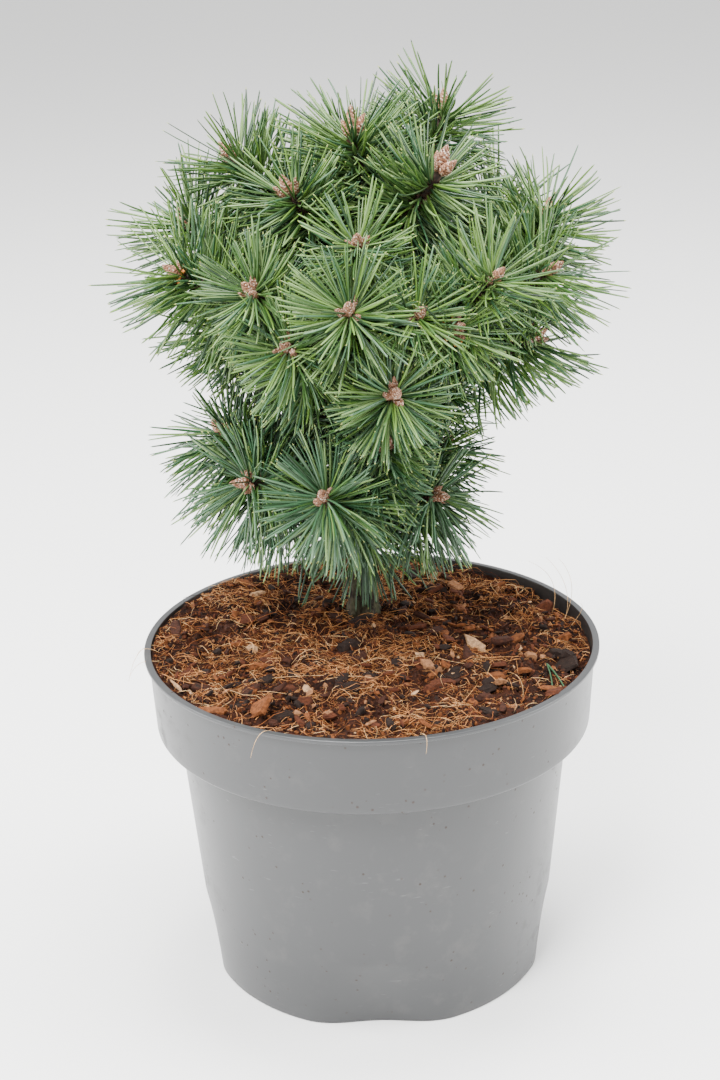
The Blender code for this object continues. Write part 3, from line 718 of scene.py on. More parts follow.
crumbs = plates(
    "mix_crumbs",
    np.stack([crumb_x, crumb_y, crumb_z], axis=-1),
    crumb_size,
    crumb_size * rng.uniform(0.6, 1.0, len(crumb_x)),
    crumb_size * rng.uniform(0.5, 0.9, len(crumb_x)),
    rng.uniform(0, 1.2, len(crumb_x)),
    rng,
    rng.choice(len(CHIP_TINTS), len(crumb_x), p=CRUMB_SHARES),
    corners=4,
)

# %% The large pieces of bark
# Large pieces that stand out, from front to back: x, y, length, width and depth in mm, the heading
# and the tilt in degrees, the height above the ground in mm, and the tint.
LARGE_CHIPS = [
    (27.7, -42, 13, 10, 3.0, 20, 24, 2.5, TAN),
    (32, -57, 17, 11, 4.0, -10, 12, 1.2, RED),
    (93, -22, 24, 13, 5.0, -62, 10, 2.0, BLACK),
    (88, 44, 20, 11, 3.5, 32, 62, 2.5, RED),
    (-6, 21, 16, 11, 5.0, 5, 8, 1.5, BLACK),
    (-99, -22, 8, 7, 5.0, 0, 5, 2.0, BLACK),
    (-81, -52, 16, 10, 3.0, -30, 8, 1.6, DARK),
    (-74, -76, 20, 7, 3.0, -38, 14, 1.5, RUST),
    (-93, -50, 12, 1.6, 1.4, -52, 12, 2.6, PALE),
    (-86, -55, 12, 1.6, 1.4, -70, 30, 2.8, PALE),
    (-20, -84, 8, 5.5, 2.4, 70, 18, 2.0, TAN),
    (-13, -10, 14, 10, 4.0, 15, 8, 1.2, BLACK),
    (-62, -69, 13, 9, 3.0, 40, 10, 1.2, BLACK),
    (-10, -56, 12, 9, 4.0, 0, 6, 1.2, BLACK),
    (14, -18, 17, 11, 3.0, -20, 8, 1.0, DARK),
    (46, 36, 18, 6, 3.0, -65, 14, 2.0, RUST),
    (-1, -46, 12, 5, 2.0, 10, 10, 2.0, TAN),
    (24, 16, 13, 9, 3.0, 25, 18, 1.4, RED),
    (-37, 52, 17, 9, 4.0, 15, 10, 1.2, BLACK),
    (64, -3, 19, 12, 3.0, -15, 8, 1.0, RED),
    (-40, -82, 15, 9, 3.0, 10, 10, 1.0, BLACK),
    (86, -64, 15, 9, 3.0, 35, 14, 1.0, RED),
    (33, 58, 17, 8, 4.0, 5, 12, 1.0, BLACK),
    (97, 4, 12, 8, 3.5, -60, 35, 2.4, RUST),
    (-70, 20, 14, 9, 3.0, 60, 10, 1.0, DARK),
    (-50, -25, 15, 10, 3.0, -20, 8, 1.0, RED),
    (52, -70, 14, 8, 3.0, 20, 10, 1.0, DARK),
    (-20, 84, 15, 9, 3.0, 30, 12, 1.0, RED),
]
large = np.array([chip[:8] for chip in LARGE_CHIPS])
large_x, large_y = large[:, 0] * MM, large[:, 1] * MM
large_chips = plates(
    "large_bark_chips",
    np.stack([large_x, large_y, mix_height(large_x, large_y) + large[:, 7] * MM], axis=-1),
    large[:, 2] * MM,
    large[:, 3] * MM,
    large[:, 4] * MM,
    np.radians(large[:, 6]),
    rng,
    np.array([chip[8] for chip in LARGE_CHIPS]),
    corners=12,
    headings=np.radians(large[:, 5]),
)
for piece in (chips, crumbs, large_chips):
    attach(piece, "root")

# %% [markdown]
# Coir fibres give the mix its hairy look. Each is a thin tube on an arc that lies along the ground
# and lifts a little in the middle. A few long ones stand up or hang out over the rim.

# %% Tints of coir
FIBRE_TINTS = [
    (0.5, 0.22, 0.076),
    (0.22, 0.068, 0.017),
    (0.06, 0.016, 0.005),
    (0.014, 0.005, 0.0025),
    (0.62, 0.38, 0.18),
]
fibre_materials = [
    mottled_and_shaded(f"fibre_tint_{i}", tint, size=3 * MM, roughness=0.75) for i, tint in enumerate(FIBRE_TINTS)
]


# %% Tubes along many lines
def side_frames(lines):
    """For lines (n, rings, 3): two unit vectors square to the line, which turn evenly with it."""
    tangent = unit(np.gradient(lines, axis=1))
    mean = unit(lines[:, -1] - lines[:, 0])
    spare = np.where(np.abs(mean[:, 2:3]) < 0.9, [[0.0, 0.0, 1.0]], [[1.0, 0.0, 0.0]])
    guide = unit(np.cross(mean, spare))[:, None]
    first = unit(guide - (guide * tangent).sum(axis=-1, keepdims=True) * tangent)
    return first, np.cross(tangent, first)


def tube_arrays(lines, radii, sides):
    """Tubes round lines (n, rings, 3) with radii (n, rings): their points, and one tube's faces."""
    first, second = side_frames(lines)
    turn = np.arange(sides) * 2 * math.pi / sides
    around = first[:, :, None] * np.cos(turn)[None, None, :, None]
    around = around + second[:, :, None] * np.sin(turn)[None, None, :, None]
    rings = lines[:, :, None] + around * radii[:, :, None, None]
    points = np.concatenate([rings.reshape(len(lines), -1, 3), lines[:, :1], lines[:, -1:]], axis=1)
    return points, closed_tube_faces(lines.shape[1], sides)


# %% Lay the fibres in mats
# Of many evenly spread fibres, a thin scatter stays everywhere, and all of them stay in the mats, which
# noise makes. The left keeps a little more. The back keeps more too: partly the real coir lying there,
# partly painted light, as its pale fibres brighten the mix in the crown's shade.
FIBRE_COUNT = 17000
FIBRE_EDGE = 1.3 * MM
FIBRE_THINNING = 300 * MM
FIBRE_BACKING = 160 * MM
MAT_SIZE = 13 * MM
MAT_START = 0.35
MAT_CONTRAST = 1.5
THIN_SCATTER = 0.16
rng = np.random.default_rng(58)
fibre_x, fibre_y = scatter_on_mix(FIBRE_COUNT, rng, FIBRE_EDGE)
fibre_flat = np.stack([fibre_x, fibre_y, 0 * fibre_x], axis=-1)
crowding = MAT_START + MAT_CONTRAST * lattice_noise(fibre_flat, MAT_SIZE, 61)
# The back's extra pale fibres are partly real coir and partly painted light in the crown's shade.
crowding = crowding - fibre_x / FIBRE_THINNING + np.maximum(fibre_y, 0) / FIBRE_BACKING
matted = rng.random(len(fibre_x)) < THIN_SCATTER + (1 - THIN_SCATTER) * smooth_step(crowding)
fibre_x, fibre_y, fibre_flat = fibre_x[matted], fibre_y[matted], fibre_flat[matted]
count = len(fibre_x)
print("fibres:", count)

# %% Bend the fibres along the ground
FIBRE_RINGS = 5
FIBRE_LENGTH = 9 * MM
FIBRE_LENGTH_SPREAD = 0.6
FIBRE_LENGTHS = (3 * MM, 42 * MM)
SWIRL_SIZE = 22 * MM
SWIRL_TURN = 3.0
HEADING_SPREAD = 1.1
CURL_SPREAD = 0.9
WALL_CLEARANCE = 1.2 * MM
FIBRE_HUMPS = (-0.3, 0.2)
FIBRE_HUMP_RANGE = (-0.6 * MM, 4 * MM)
FIBRE_LIFTS = (0.1 * MM, 2.2 * MM)
fibre_length = rng.lognormal(math.log(FIBRE_LENGTH), FIBRE_LENGTH_SPREAD, count)
fibre_length = np.clip(fibre_length, *FIBRE_LENGTHS)
heading = SWIRL_TURN * lattice_noise(fibre_flat, SWIRL_SIZE, 67)
heading = heading + rng.normal(0, HEADING_SPREAD, count)
curl = rng.normal(0, CURL_SPREAD, count)
along = np.linspace(-0.5, 0.5, FIBRE_RINGS)[None]
bend = heading[:, None] + curl[:, None] * along
step_x = np.cumsum(np.cos(bend), axis=1) / FIBRE_RINGS * fibre_length[:, None]
step_y = np.cumsum(np.sin(bend), axis=1) / FIBRE_RINGS * fibre_length[:, None]
line_x = fibre_x[:, None] + step_x - step_x.mean(axis=1, keepdims=True)
line_y = fibre_y[:, None] + step_y - step_y.mean(axis=1, keepdims=True)
pull = np.minimum(1, (MIX_RIM - WALL_CLEARANCE) / np.hypot(line_x, line_y))
line_x, line_y = line_x * pull, line_y * pull
ground = mix_height(line_x, line_y)
ground = 0.5 * ground + 0.5 * ground.mean(axis=1, keepdims=True)
hump = (1 - (2 * along) ** 2) * rng.uniform(*FIBRE_HUMPS, count)[:, None] * fibre_length[:, None]
hump = np.clip(hump, *FIBRE_HUMP_RANGE)
lift = rng.uniform(*FIBRE_LIFTS, count)[:, None]
lines = np.stack([line_x, line_y, ground + hump + lift], axis=-1)
print("mean fibre length, mm:", round(fibre_length.mean() / MM, 1))

# %% Give the fibres their thickness and tints
FIBRE_SIDES = 3
FIBRE_RADII = (0.06 * MM, 0.145 * MM)
FIBRE_FULLNESS = np.array([0.5, 1, 1.1, 0.95, 0.35])[None]
FIBRE_SHARES = [0.33, 0.25, 0.19, 0.15, 0.08]
radius = rng.uniform(*FIBRE_RADII, count)[:, None] * FIBRE_FULLNESS
fibre_points, fibre_parts = tube_arrays(lines, radius, FIBRE_SIDES)
fibre_kinds = rng.choice(len(FIBRE_TINTS), count, p=FIBRE_SHARES)
fibre_pieces = []
for label, chosen in (("coir_fibres_front", fibre_y < 0), ("coir_fibres_back", fibre_y >= 0)):
    points = fibre_points[chosen]
    faces = repeated_faces(fibre_parts, len(points), points.shape[1])
    kinds = repeated_kinds(fibre_parts, fibre_kinds[chosen])
    fibre_pieces.append(add_piece(label, points.reshape(-1, 3), faces, fibre_materials, kinds))

# %% Long fibres on top and over the rim
# Long pale fibres that lie on top, stand up or hang over the rim: start, crest and end in mm from
# the middle of the pot's mouth.
LONG_FIBRES = [
    ((98, 26, -6), (108, 24, 16), (95, 20, 32)),
    ((100, 31, -6), (105, 34, 12), (90, 34, 27)),
    ((94, 38, -6), (100, 42, 14), (82, 47, 20)),
    ((101, 18, -5), (109, 12, 9), (104, 2, 15)),
    ((-106, 0, -2), (-117, -5, 4), (-121, -11, -16)),
    ((-103, -20, -2), (-114, -24, 4), (-119, -20, -9)),
    ((-105, -8, -2), (-113, -12, 5), (-117, -4, -5)),
    ((-46, -96, -2), (-52, -107, 6), (-55, -112, -7)),
    ((20, -104, -2), (25, -112, 6), (23, -116, -5)),
    ((-54, -42, -2), (-34, -49, 4), (-10, -40, -2)),
    ((-30, -50, -2), (-12, -43, 4), (12, -50, -2)),
    ((-62, -58, -2), (-52, -66, 6), (-34, -62, -2)),
    ((62, -40, -2), (72, -52, 5), (70, -68, -2)),
    ((20, -78, -2), (36, -83, 4), (52, -76, -2)),
]
LONG_FIBRE_RADIUS = 0.12 * MM
LONG_FIBRE_RINGS = 14
LONG_FIBRE_SIDES = 5
long_ends = np.array(LONG_FIBRES) * MM + np.array([0, 0, POT_HEIGHT])
run = np.linspace(0, 1, LONG_FIBRE_RINGS)[None, :, None]
long_lines = long_ends[:, None, 0] * (1 - run) ** 2 + long_ends[:, None, 2] * run**2
long_lines = long_lines + long_ends[:, None, 1] * 2 * run * (1 - run)
long_radius = LONG_FIBRE_RADIUS * (1 - 0.6 * run[..., 0] ** 3) * np.ones((len(long_lines), 1))
long_points, long_parts = tube_arrays(long_lines, long_radius, LONG_FIBRE_SIDES)
long_faces = repeated_faces(long_parts, len(long_lines), long_points.shape[1])
long_fibres = add_piece("long_fibres", long_points.reshape(-1, 3), long_faces, [fibre_materials[-1]])
for piece in (*fibre_pieces, long_fibres):
    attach(piece, "root")

# %% [markdown]
# ## How the pine grows
# Boughs leave the trunk in whorls, and each ends in one to three shoots. The same rule and the same
# sizes as the construction model's give each limb's line: a cubic curve from the trunk to a fork, and
# one more from the fork to each bud.

# %% The growth plan
TRUNK_TIP = np.array([1 * MM, 30 * MM, MOUND_TOP + 214 * MM])
TRUNK_SWAY = 3 * MM
TRUNK_RADIUS = 6.6 * MM
TRUNK_TIP_RADIUS = 2.4 * MM
FLARE_RADIUS = 2.8 * MM
FLARE_HEIGHT = 10 * MM
BOUGH_RADIUS = 2.5 * MM
BOUGH_TO_TRUNK = 0.55
BOUGH_TAPER = 0.8
BOUGH_SHARE = 0.46
BOUGH_RISE_SHARE = 0.38
BOUGH_START_LIFT = math.radians(18)
SHOOT_RADIUS = 1.7 * MM
CROWN_MIDDLE = np.array([-3 * MM, 30 * MM])
LEADER_BUD = np.array([*CROWN_MIDDLE, MOUND_TOP + 248 * MM])
LEADER_AZIMUTH = math.radians(-90)
LEADER_LIFT = math.radians(86)
LEADER_NEEDLE = 38 * MM
TIP_START = 0.94
LINE_POINTS = 49

# Each bough: its height on the trunk in mm above the mix, then its shoots. A shoot is its azimuth in
# degrees from the front, its bud's reach and height in mm, the lift of its tip in degrees, and the
# length of its needles in mm.
BOUGHS = {
    "low_left": (47, [(-82, 68, 105, 48, 38), (-51, 71, 90, 10, 34)]),
    "low_front": (42, [(-13, 77, 93, 40, 32), (12, 58, 112, 44, 28)]),
    "low_right": (36, [(45, 52, 78, 10, 30), (90, 40, 92, 32, 32)]),
    "low_back_right": (44, [(140, 58, 95, 26, 35)]),
    "low_back_left": (39, [(-175, 68, 101, 34, 38), (-128, 66, 89, 18, 38)]),
    "middle_front_left": (101, [(-23, 81, 164, 32, 31)]),
    "middle_front": (89, [(10, 92, 146, 24, 29)]),
    "middle_right": (97, [(71, 88, 154, 32, 33), (59, 54, 150, 34, 26)]),
    "middle_back_right": (89, [(116, 74, 168, 48, 33)]),
    "middle_back": (99, [(165, 88, 155, 30, 38)]),
    "middle_back_left": (90, [(-138, 84, 157, 34, 38), (-92, 70, 155, 32, 33)]),
    "upper_left": (139, [(-73, 88, 188, 34, 38), (-38, 77, 187, 40, 30)]),
    "upper_front": (128, [(-2, 90, 184, 42, 31), (19, 84, 179, 34, 27), (1, 60, 207, 48, 28)]),
    "upper_front_right": (143, [(46, 87, 190, 46, 32), (32, 83, 169, 30, 29)]),
    "upper_right": (121, [(72, 94, 185, 34, 37), (93, 92, 206, 80, 34)]),
    "upper_back_right": (136, [(122, 88, 197, 46, 38), (148, 84, 181, 34, 38)]),
    "upper_back": (126, [(-177, 90, 193, 44, 38), (-150, 84, 183, 34, 38)]),
    "upper_back_left": (117, [(-104, 84, 203, 50, 38)]),
    "top_front_right": (187, [(53, 50, 236, 68, 33)]),
    "top_front_left": (181, [(-50, 40, 226, 62, 32)]),
    "top_back_right": (195, [(128, 56, 253, 88, 35)]),
    "top_back": (184, [(180, 52, 229, 68, 35)]),
    "top_back_left": (190, [(-109, 63, 234, 48, 34)]),
}


# %% Lines that limbs follow
def bezier(start, start_way, end, end_way):
    """Points on a cubic curve between two places, leaving and arriving along two ways."""
    handle = np.linalg.norm(end - start) / 3
    t = np.linspace(0, 1, LINE_POINTS)[:, None]
    s = 1 - t
    first = start + start_way * handle
    second = end - end_way * handle
    return start * s**3 + first * (3 * s * s * t) + second * (3 * s * t * t) + end * t**3


def outward(azimuth, lift):
    """The unit vector at an azimuth from the front and a lift above level, both in radians."""
    flat = math.cos(lift)
    return np.array([math.sin(azimuth) * flat, -math.cos(azimuth) * flat, math.sin(lift)])


def trunk_line(share):
    """The trunk's axis: a straight lean from foot to tip with one soft sway."""
    share = np.asarray(share, float)[..., None]
    line = TRUNK_FOOT + (TRUNK_TIP - TRUNK_FOOT) * share
    line[..., 0] += TRUNK_SWAY * np.sin(math.pi * share[..., 0]) ** 2
    return line


def trunk_radius(share):
    """The trunk's radius: an even taper with a root flare that dies away."""
    taper = TRUNK_RADIUS + (TRUNK_TIP_RADIUS - TRUNK_RADIUS) * share
    return taper + FLARE_RADIUS * np.exp(-share * (TRUNK_TIP[2] - TRUNK_FOOT[2]) / FLARE_HEIGHT)


# %% Grow the plan
def grow_plan():
    """Each bough's line and thickness, and each shoot's bud, way, stem line and needle length."""
    plan = {}
    tall = TRUNK_TIP[2] - TRUNK_FOOT[2]
    for name, (rise, shoots) in BOUGHS.items():
        share = rise * MM / tall
        root = trunk_line(share)
        thick = min(BOUGH_RADIUS, float(trunk_radius(share)) * BOUGH_TO_TRUNK)
        buds, ways, needles = [], [], []
        for azimuth, reach, height, lift, needle in shoots:
            turn = math.radians(azimuth)
            core = np.array([*CROWN_MIDDLE, MOUND_TOP + height * MM])
            buds.append(core + outward(turn, 0) * reach * MM)
            ways.append(outward(turn, math.radians(lift)))
            needles.append(needle * MM)
        middle = np.mean(buds, axis=0)
        span = middle - root
        fork = root + span * np.array([BOUGH_SHARE, BOUGH_SHARE, BOUGH_RISE_SHARE])
        start_way = outward(math.atan2(span[0], -span[1]), BOUGH_START_LIFT)
        fork_way = unit(middle - fork)
        stems = [bezier(fork, fork_way, bud, way) for bud, way in zip(buds, ways)]
        line = bezier(root, start_way, fork, fork_way)
        plan[name] = (line, thick, list(zip(buds, ways, stems, needles)))
    leader_way = outward(LEADER_AZIMUTH, LEADER_LIFT)
    tip_way = unit(trunk_line(1.0) - trunk_line(TIP_START))
    stem = bezier(TRUNK_TIP, tip_way, LEADER_BUD, leader_way)
    plan["leader"] = (None, TRUNK_TIP_RADIUS, [(LEADER_BUD, leader_way, stem, LEADER_NEEDLE)])
    return plan


plan = grow_plan()
print("boughs:", len(plan) - 1, "shoots:", sum(len(shoots) for _, _, shoots in plan.values()))

# %% [markdown]
# ## Bark
# The trunk's bark is grey-brown and breaks into small upright plates, and the young boughs are
# rough with the bases of old needles. Both are real relief on a fine grid round each limb.

# %% Limbs with relief
PLATE_SIZE = 2.6 * MM
PLATE_STRETCH = np.array([1, 1, 0.42])
CRACK_DEPTH = 0.5
CRACK_WIDTH = 0.2
PLATE_ROUGHNESS = 0.3
ROOT_LOBES = 5
ROOT_LOBE_HEIGHT = 1.1
BASE_HEIGHT = 0.2
BASE_ROUGHNESS = 0.22


def lengths_along(line):
    """The length of a line from its start to each of its points."""
    return np.concatenate([[0], np.cumsum(np.linalg.norm(np.diff(line, axis=0), axis=1))])


def limb_arrays(line, radius, sides, relief):
    """A limb's points and faces: a tube whose radius grows by relief(length along, turn, place)."""
    length = lengths_along(line)
    first, second = (part[0] for part in side_frames(line[None]))
    turn = np.arange(sides) * 2 * math.pi / sides
    around = first[:, None] * np.cos(turn)[None, :, None]
    around = around + second[:, None] * np.sin(turn)[None, :, None]
    base = line[:, None] + around * radius[:, None, None]
    grown = radius[:, None] + relief(length[:, None], turn[None], base)
    rings = line[:, None] + around * grown[:, :, None]
    points = np.vstack([rings.reshape(-1, 3), line[:1], line[-1:]])
    return points, closed_tube_faces(len(line), sides)


def trunk_relief(length, turn, place):
    """Upright plates: stretched noise, with cracks where it crosses zero, and lobes at the root."""
    plate = np.abs(rough_noise(place * PLATE_STRETCH, PLATE_SIZE, 21))
    crack = -CRACK_DEPTH * np.exp(-((plate / CRACK_WIDTH) ** 2))
    lobes = ROOT_LOBE_HEIGHT * np.cos(turn * ROOT_LOBES + 0.6) * np.exp(-length / FLARE_HEIGHT)
    return (crack + PLATE_ROUGHNESS * lattice_noise(place, 1.2 * MM, 30) + lobes) * MM


def bough_relief(length, turn, place):
    """Old needle bases: two crossing spirals of small ridges, broken by noise."""
    spiral = np.cos(5 * turn + length / MM * 2.1) * np.cos(3 * turn - length / MM * 1.5)
    return (BASE_HEIGHT * spiral + BASE_ROUGHNESS * lattice_noise(place, 1.3 * MM, 33)) * MM


# %% Trunk and boughs
TRUNK_RINGS = 260
TRUNK_SIDES = 60
RING_CROWDING = 1.15
BOUGH_SIDES = 22
BOUGH_ROOT_SWELL = 1.12
COLLAR_SWELL = 0.35
COLLAR_FADE = 9
trunk_share = np.linspace(0, 1, TRUNK_RINGS) ** RING_CROWDING
trunk_radii = trunk_radius(trunk_share)
trunk_points, trunk_faces = limb_arrays(trunk_line(trunk_share), trunk_radii, TRUNK_SIDES, trunk_relief)
bark_points = [trunk_points]
bark_faces = list(trunk_faces)
bough_taper = np.linspace(BOUGH_ROOT_SWELL, BOUGH_TAPER, LINE_POINTS)
bough_taper = bough_taper + COLLAR_SWELL * np.exp(-np.linspace(0, COLLAR_FADE, LINE_POINTS))
for line, thick, _ in plan.values():
    if line is None:
        continue
    points, faces = limb_arrays(line, thick * bough_taper, BOUGH_SIDES, bough_relief)
    offset = sum(len(part) for part in bark_points)
    bark_points.append(points)
    bark_faces += [part + offset for part in faces]

# %% Bark colour and the finished piece
bark_finish = Finish("pine_bark", (0.1, 0.08, 0.06), 0.9, Specular_IOR_Level=0.2)
plate_tone = bark_finish.noise(0.0024, 5.0, stretch=(1, 1, 0.5), rough=0.65)
moss = bark_finish.noise(0.009, 3.0).above(0.5, 0.25)
crevice = bark_finish.noise(0.0035, 4.0, stretch=(1, 1, 0.4), rough=0.6).above(0.42, 0.12)
plates_high = plate_tone.above(0.5, 0.35)
bark_tone = bark_finish.blend(plates_high, (0.018, 0.014, 0.008), (0.07, 0.056, 0.036))
bark_tone = bark_finish.blend(moss * 0.6, bark_tone, (0.036, 0.042, 0.018))
bark_tone = bark_finish.blend(crevice, (0.012, 0.008, 0.006), bark_tone)
bark_finish.paint("Base Color", bark_tone)
bark_finish.paint("Roughness", 0.8 + plate_tone * 0.15)
bark_finish.bump(crevice + plate_tone * 0.6, 0.0005)
bark = add_piece("trunk_and_boughs", np.vstack(bark_points), bark_faces, [bark_finish.material])
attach(bark, "root")
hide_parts("trunk", *[f"bough_{name}" for name in BOUGHS])

# %% [markdown]
# The leafy shoots are younger wood: dark brown, closely set with scaly needle bases.

# %% Stems of the shoots
SHOOT_SIDES = 14
SWELL_STOPS = [0, 0.4, 0.8, 1]
SHOOT_RADII = [2.1 * MM, 2.5 * MM, 1.9 * MM]
stem_share = np.linspace(0, 1, LINE_POINTS)
twig_points, twig_faces = [], []
for line, thick, shoots in plan.values():
    for number, (_, _, stem, _) in enumerate(shoots):
        first_radius = thick * BOUGH_TAPER if line is not None else TRUNK_TIP_RADIUS
        start_radius = first_radius if number == 0 else SHOOT_RADIUS
        swell = np.interp(stem_share, SWELL_STOPS, [start_radius, *SHOOT_RADII])
        points, faces = limb_arrays(stem, swell, SHOOT_SIDES, bough_relief)
        offset = sum(len(part) for part in twig_points)
        twig_points.append(points)
        twig_faces += [part + offset for part in faces]
twig_finish = Finish("shoot_wood", (0.06, 0.035, 0.02), 0.85)
base_tone = twig_finish.noise(0.0022, 3.0)
bases_high = base_tone.above(0.52, 0.3)
twig_tone = twig_finish.blend(bases_high, (0.012, 0.006, 0.004), (0.055, 0.024, 0.012))
twig_finish.paint("Base Color", twig_tone)
twig_finish.bump(base_tone, 0.0005)
twigs = add_piece("shoot_stems", np.vstack(twig_points), twig_faces, [twig_finish.material])
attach(twigs, "root")

# %% [markdown]
# ## Needles
# Mugo pine needles grow in pairs from a short brown sheath. Each is a half-round blade with a paler
# flat face towards its twin. They stand round the shoot on a golden-angle spiral, square to it at the
# back and steeper towards the bud. Last year's needles stay on further back, fewer and darker. One
# array holds all the needles of a piece.

# %% Needle tints
GREENS = {
    "needle_mid": (0.036, 0.092, 0.016),
    "needle_fresh": (0.088, 0.172, 0.024),
    "needle_deep": (0.01, 0.036, 0.009),
    "needle_blue": (0.03, 0.088, 0.036),
    "needle_flat_pale": (0.145, 0.235, 0.077),
    "needle_flat_blue": (0.085, 0.165, 0.085),
    "needle_tip": (0.25, 0.29, 0.07),
    "needle_sheath": (0.075, 0.04, 0.022),
}
needle_materials = [Finish(label, tint, 0.42).material for label, tint in GREENS.items()]
MID, FRESH, DEEP, BLUE, FLAT_PALE, FLAT_BLUE, TIP, SHEATH = range(len(GREENS))
print("needle tints:", len(needle_materials))

# %% Pairs of needles round a stem
GOLDEN_ANGLE = math.pi * (3 - math.sqrt(5))
STEM_RADIUS = 1.7 * MM
TURN_SPREAD = 0.34
SPLAY_CURVE = 0.75
SPLAY_SPREAD = 0.17
BACK_SHORTENING = 0.05
LENGTH_SPREAD = 0.08
LENGTH_RANGE = (0.72, 1.07)
TWIN_LENGTHS = (0.94, 1.03)
PAIR_OPENING = (0.07, 0.24)
PAIR_CLOSING = 0.4
PAIR_GAP = 0.25 * MM
FORWARD_BEND = 0.06
BEND_SPREAD = 0.05


def along_line(line, back):
    """Places and tangents at distances back from a line's end."""
    length = lengths_along(line)
    at = np.clip(length[-1] - back, 0, length[-1])
    places = []
    for spot in (at, np.minimum(at + MM, length[-1]), np.maximum(at - MM, 0)):
        places.append(np.stack([np.interp(spot, length, line[:, i]) for i in range(3)], axis=-1))
    place, ahead, before = places
    return place, unit(ahead - before)


def needle_pairs(line, count, zone, splays, length, rng):
    """Roots, ways, flat-face ways, bends and lengths of needle pairs on one stem."""
    share = (np.arange(count) + rng.random(count)) / count
    back = zone[0] + (zone[1] - zone[0]) * share
    place, axis = along_line(line, back)
    spare = unit(np.cross(axis, np.array([0.3, 0.2, 0.93])))
    other = np.cross(axis, spare)
    turn = np.arange(count) * GOLDEN_ANGLE + rng.normal(0, TURN_SPREAD, count)
    round_way = spare * np.cos(turn)[:, None] + other * np.sin(turn)[:, None]
    splay = splays[0] + (splays[1] - splays[0]) * share**SPLAY_CURVE
    splay = splay + rng.normal(0, SPLAY_SPREAD, count)
    way = axis * np.cos(splay)[:, None] + round_way * np.sin(splay)[:, None]
    root = place + round_way * STEM_RADIUS
    uneven = np.clip(rng.normal(1, LENGTH_SPREAD, count), *LENGTH_RANGE)
    long = length * (1 - BACK_SHORTENING * share) * uneven
    roll = rng.random(count) * math.pi
    sideways = unit(np.cross(way, axis))
    flat = unit(sideways * np.cos(roll)[:, None] + np.cross(way, sideways) * np.sin(roll)[:, None])
    roots, ways, flats, bends, longs = [], [], [], [], []
    for side in (-1, 1):
        open_by = rng.uniform(*PAIR_OPENING, count)[:, None]
        roots.append(root - flat * side * PAIR_GAP)
        ways.append(unit(way - flat * side * open_by))
        flats.append(flat * side)
        curve = axis * rng.normal(FORWARD_BEND, BEND_SPREAD, count)[:, None]
        curve = curve + rng.normal(0, BEND_SPREAD, (count, 3))
        bends.append(curve + flat * side * open_by * PAIR_CLOSING)
        longs.append(long * rng.uniform(*TWIN_LENGTHS, count))
    return [np.concatenate(part) for part in (roots, ways, flats, bends, longs)]


# %% Needle blades
NEEDLE_WIDTH = 1.04 * MM
NEEDLE_STOPS = np.array([0, 0.06, 0.3, 0.55, 0.8, 0.965])
NEEDLE_FULLNESS = np.array([0.75, 0.95, 1.0, 1.0, 0.92, 0.62])
NEEDLE_SECTION = np.array([(-0.5, 0.0), (0.5, 0.0), (0.34, 0.5), (-0.34, 0.5)])
SOIL_CLEARANCE = 2 * MM
RIM_CLEARANCE = 3 * MM
NEEDLE_CUT = 0.8
CUT_ROUNDS = 4
GREEN_ODDS = (0.5, 0.32, 0.18)
FLAT_BLUE_SHARE = 0.8
TIPPED_SHARE = 0.35


def needle_points(roots, ways, flats, bends, longs, width=NEEDLE_WIDTH):
    """Blades' points, each a half-round section, flat towards its twin, along a gently bent line."""
    t = NEEDLE_STOPS[None, :, None]
    middle = roots[:, None] + longs[:, None, None] * (ways[:, None] * t + bends[:, None] * t * t)
    across = unit(np.cross(ways, flats))
    size = width * NEEDLE_FULLNESS[None, :, None, None]
    section = across[:, None, None] * NEEDLE_SECTION[None, None, :, :1]
    section = section - flats[:, None, None] * NEEDLE_SECTION[None, None, :, 1:]
    rings = (middle[:, :, None] + section * size).reshape(len(roots), -1, 3)
    tip = roots + longs[:, None] * (ways + bends)
    return np.concatenate([rings, middle[:, :1], tip[:, None]], axis=1)


def above_mix(roots, ways, bends, longs):
    """Lengths cut so that no needle reaches into the mix or the pot's rim."""
    for _ in range(CUT_ROUNDS):
        tip = roots + longs[:, None] * (ways + bends)
        inside = np.hypot(tip[:, 0], tip[:, 1]) < LIP_RADIUS + RIM_CLEARANCE
        ground = np.maximum(mix_height(tip[:, 0], tip[:, 1]), MIX_TOP)
        floor = np.where(inside, ground + SOIL_CLEARANCE, 0)
        longs = np.where(tip[:, 2] < floor, longs * NEEDLE_CUT, longs)
    return longs


def needle_kinds(count, blue_share, deep_share, rng):
    """Each face's tint: a green for each needle, its paler flat side, its tip and its sheath."""
    mid, fresh, deep = GREEN_ODDS
    odds = np.array([mid, fresh * (1 - deep_share), deep + deep_share, blue_share])
    body = rng.choice([MID, FRESH, DEEP, BLUE], count, p=odds / odds.sum())
    flat = np.where(rng.random(count) < blue_share * FLAT_BLUE_SHARE, FLAT_BLUE, FLAT_PALE)
    rows, sides = len(NEEDLE_STOPS) - 1, len(NEEDLE_SECTION)
    kinds = np.repeat(body, rows * sides).reshape(count, rows, sides)
    kinds[:, :, 0] = flat[:, None]
    kinds[:, 0] = SHEATH
    fans = np.full((count, 2 * sides), SHEATH)
    tipped = np.where(rng.random(count) < TIPPED_SHARE, TIP, body)
    fans[:, sides:] = tipped[:, None]
    return kinds.reshape(-1), fans.reshape(-1)


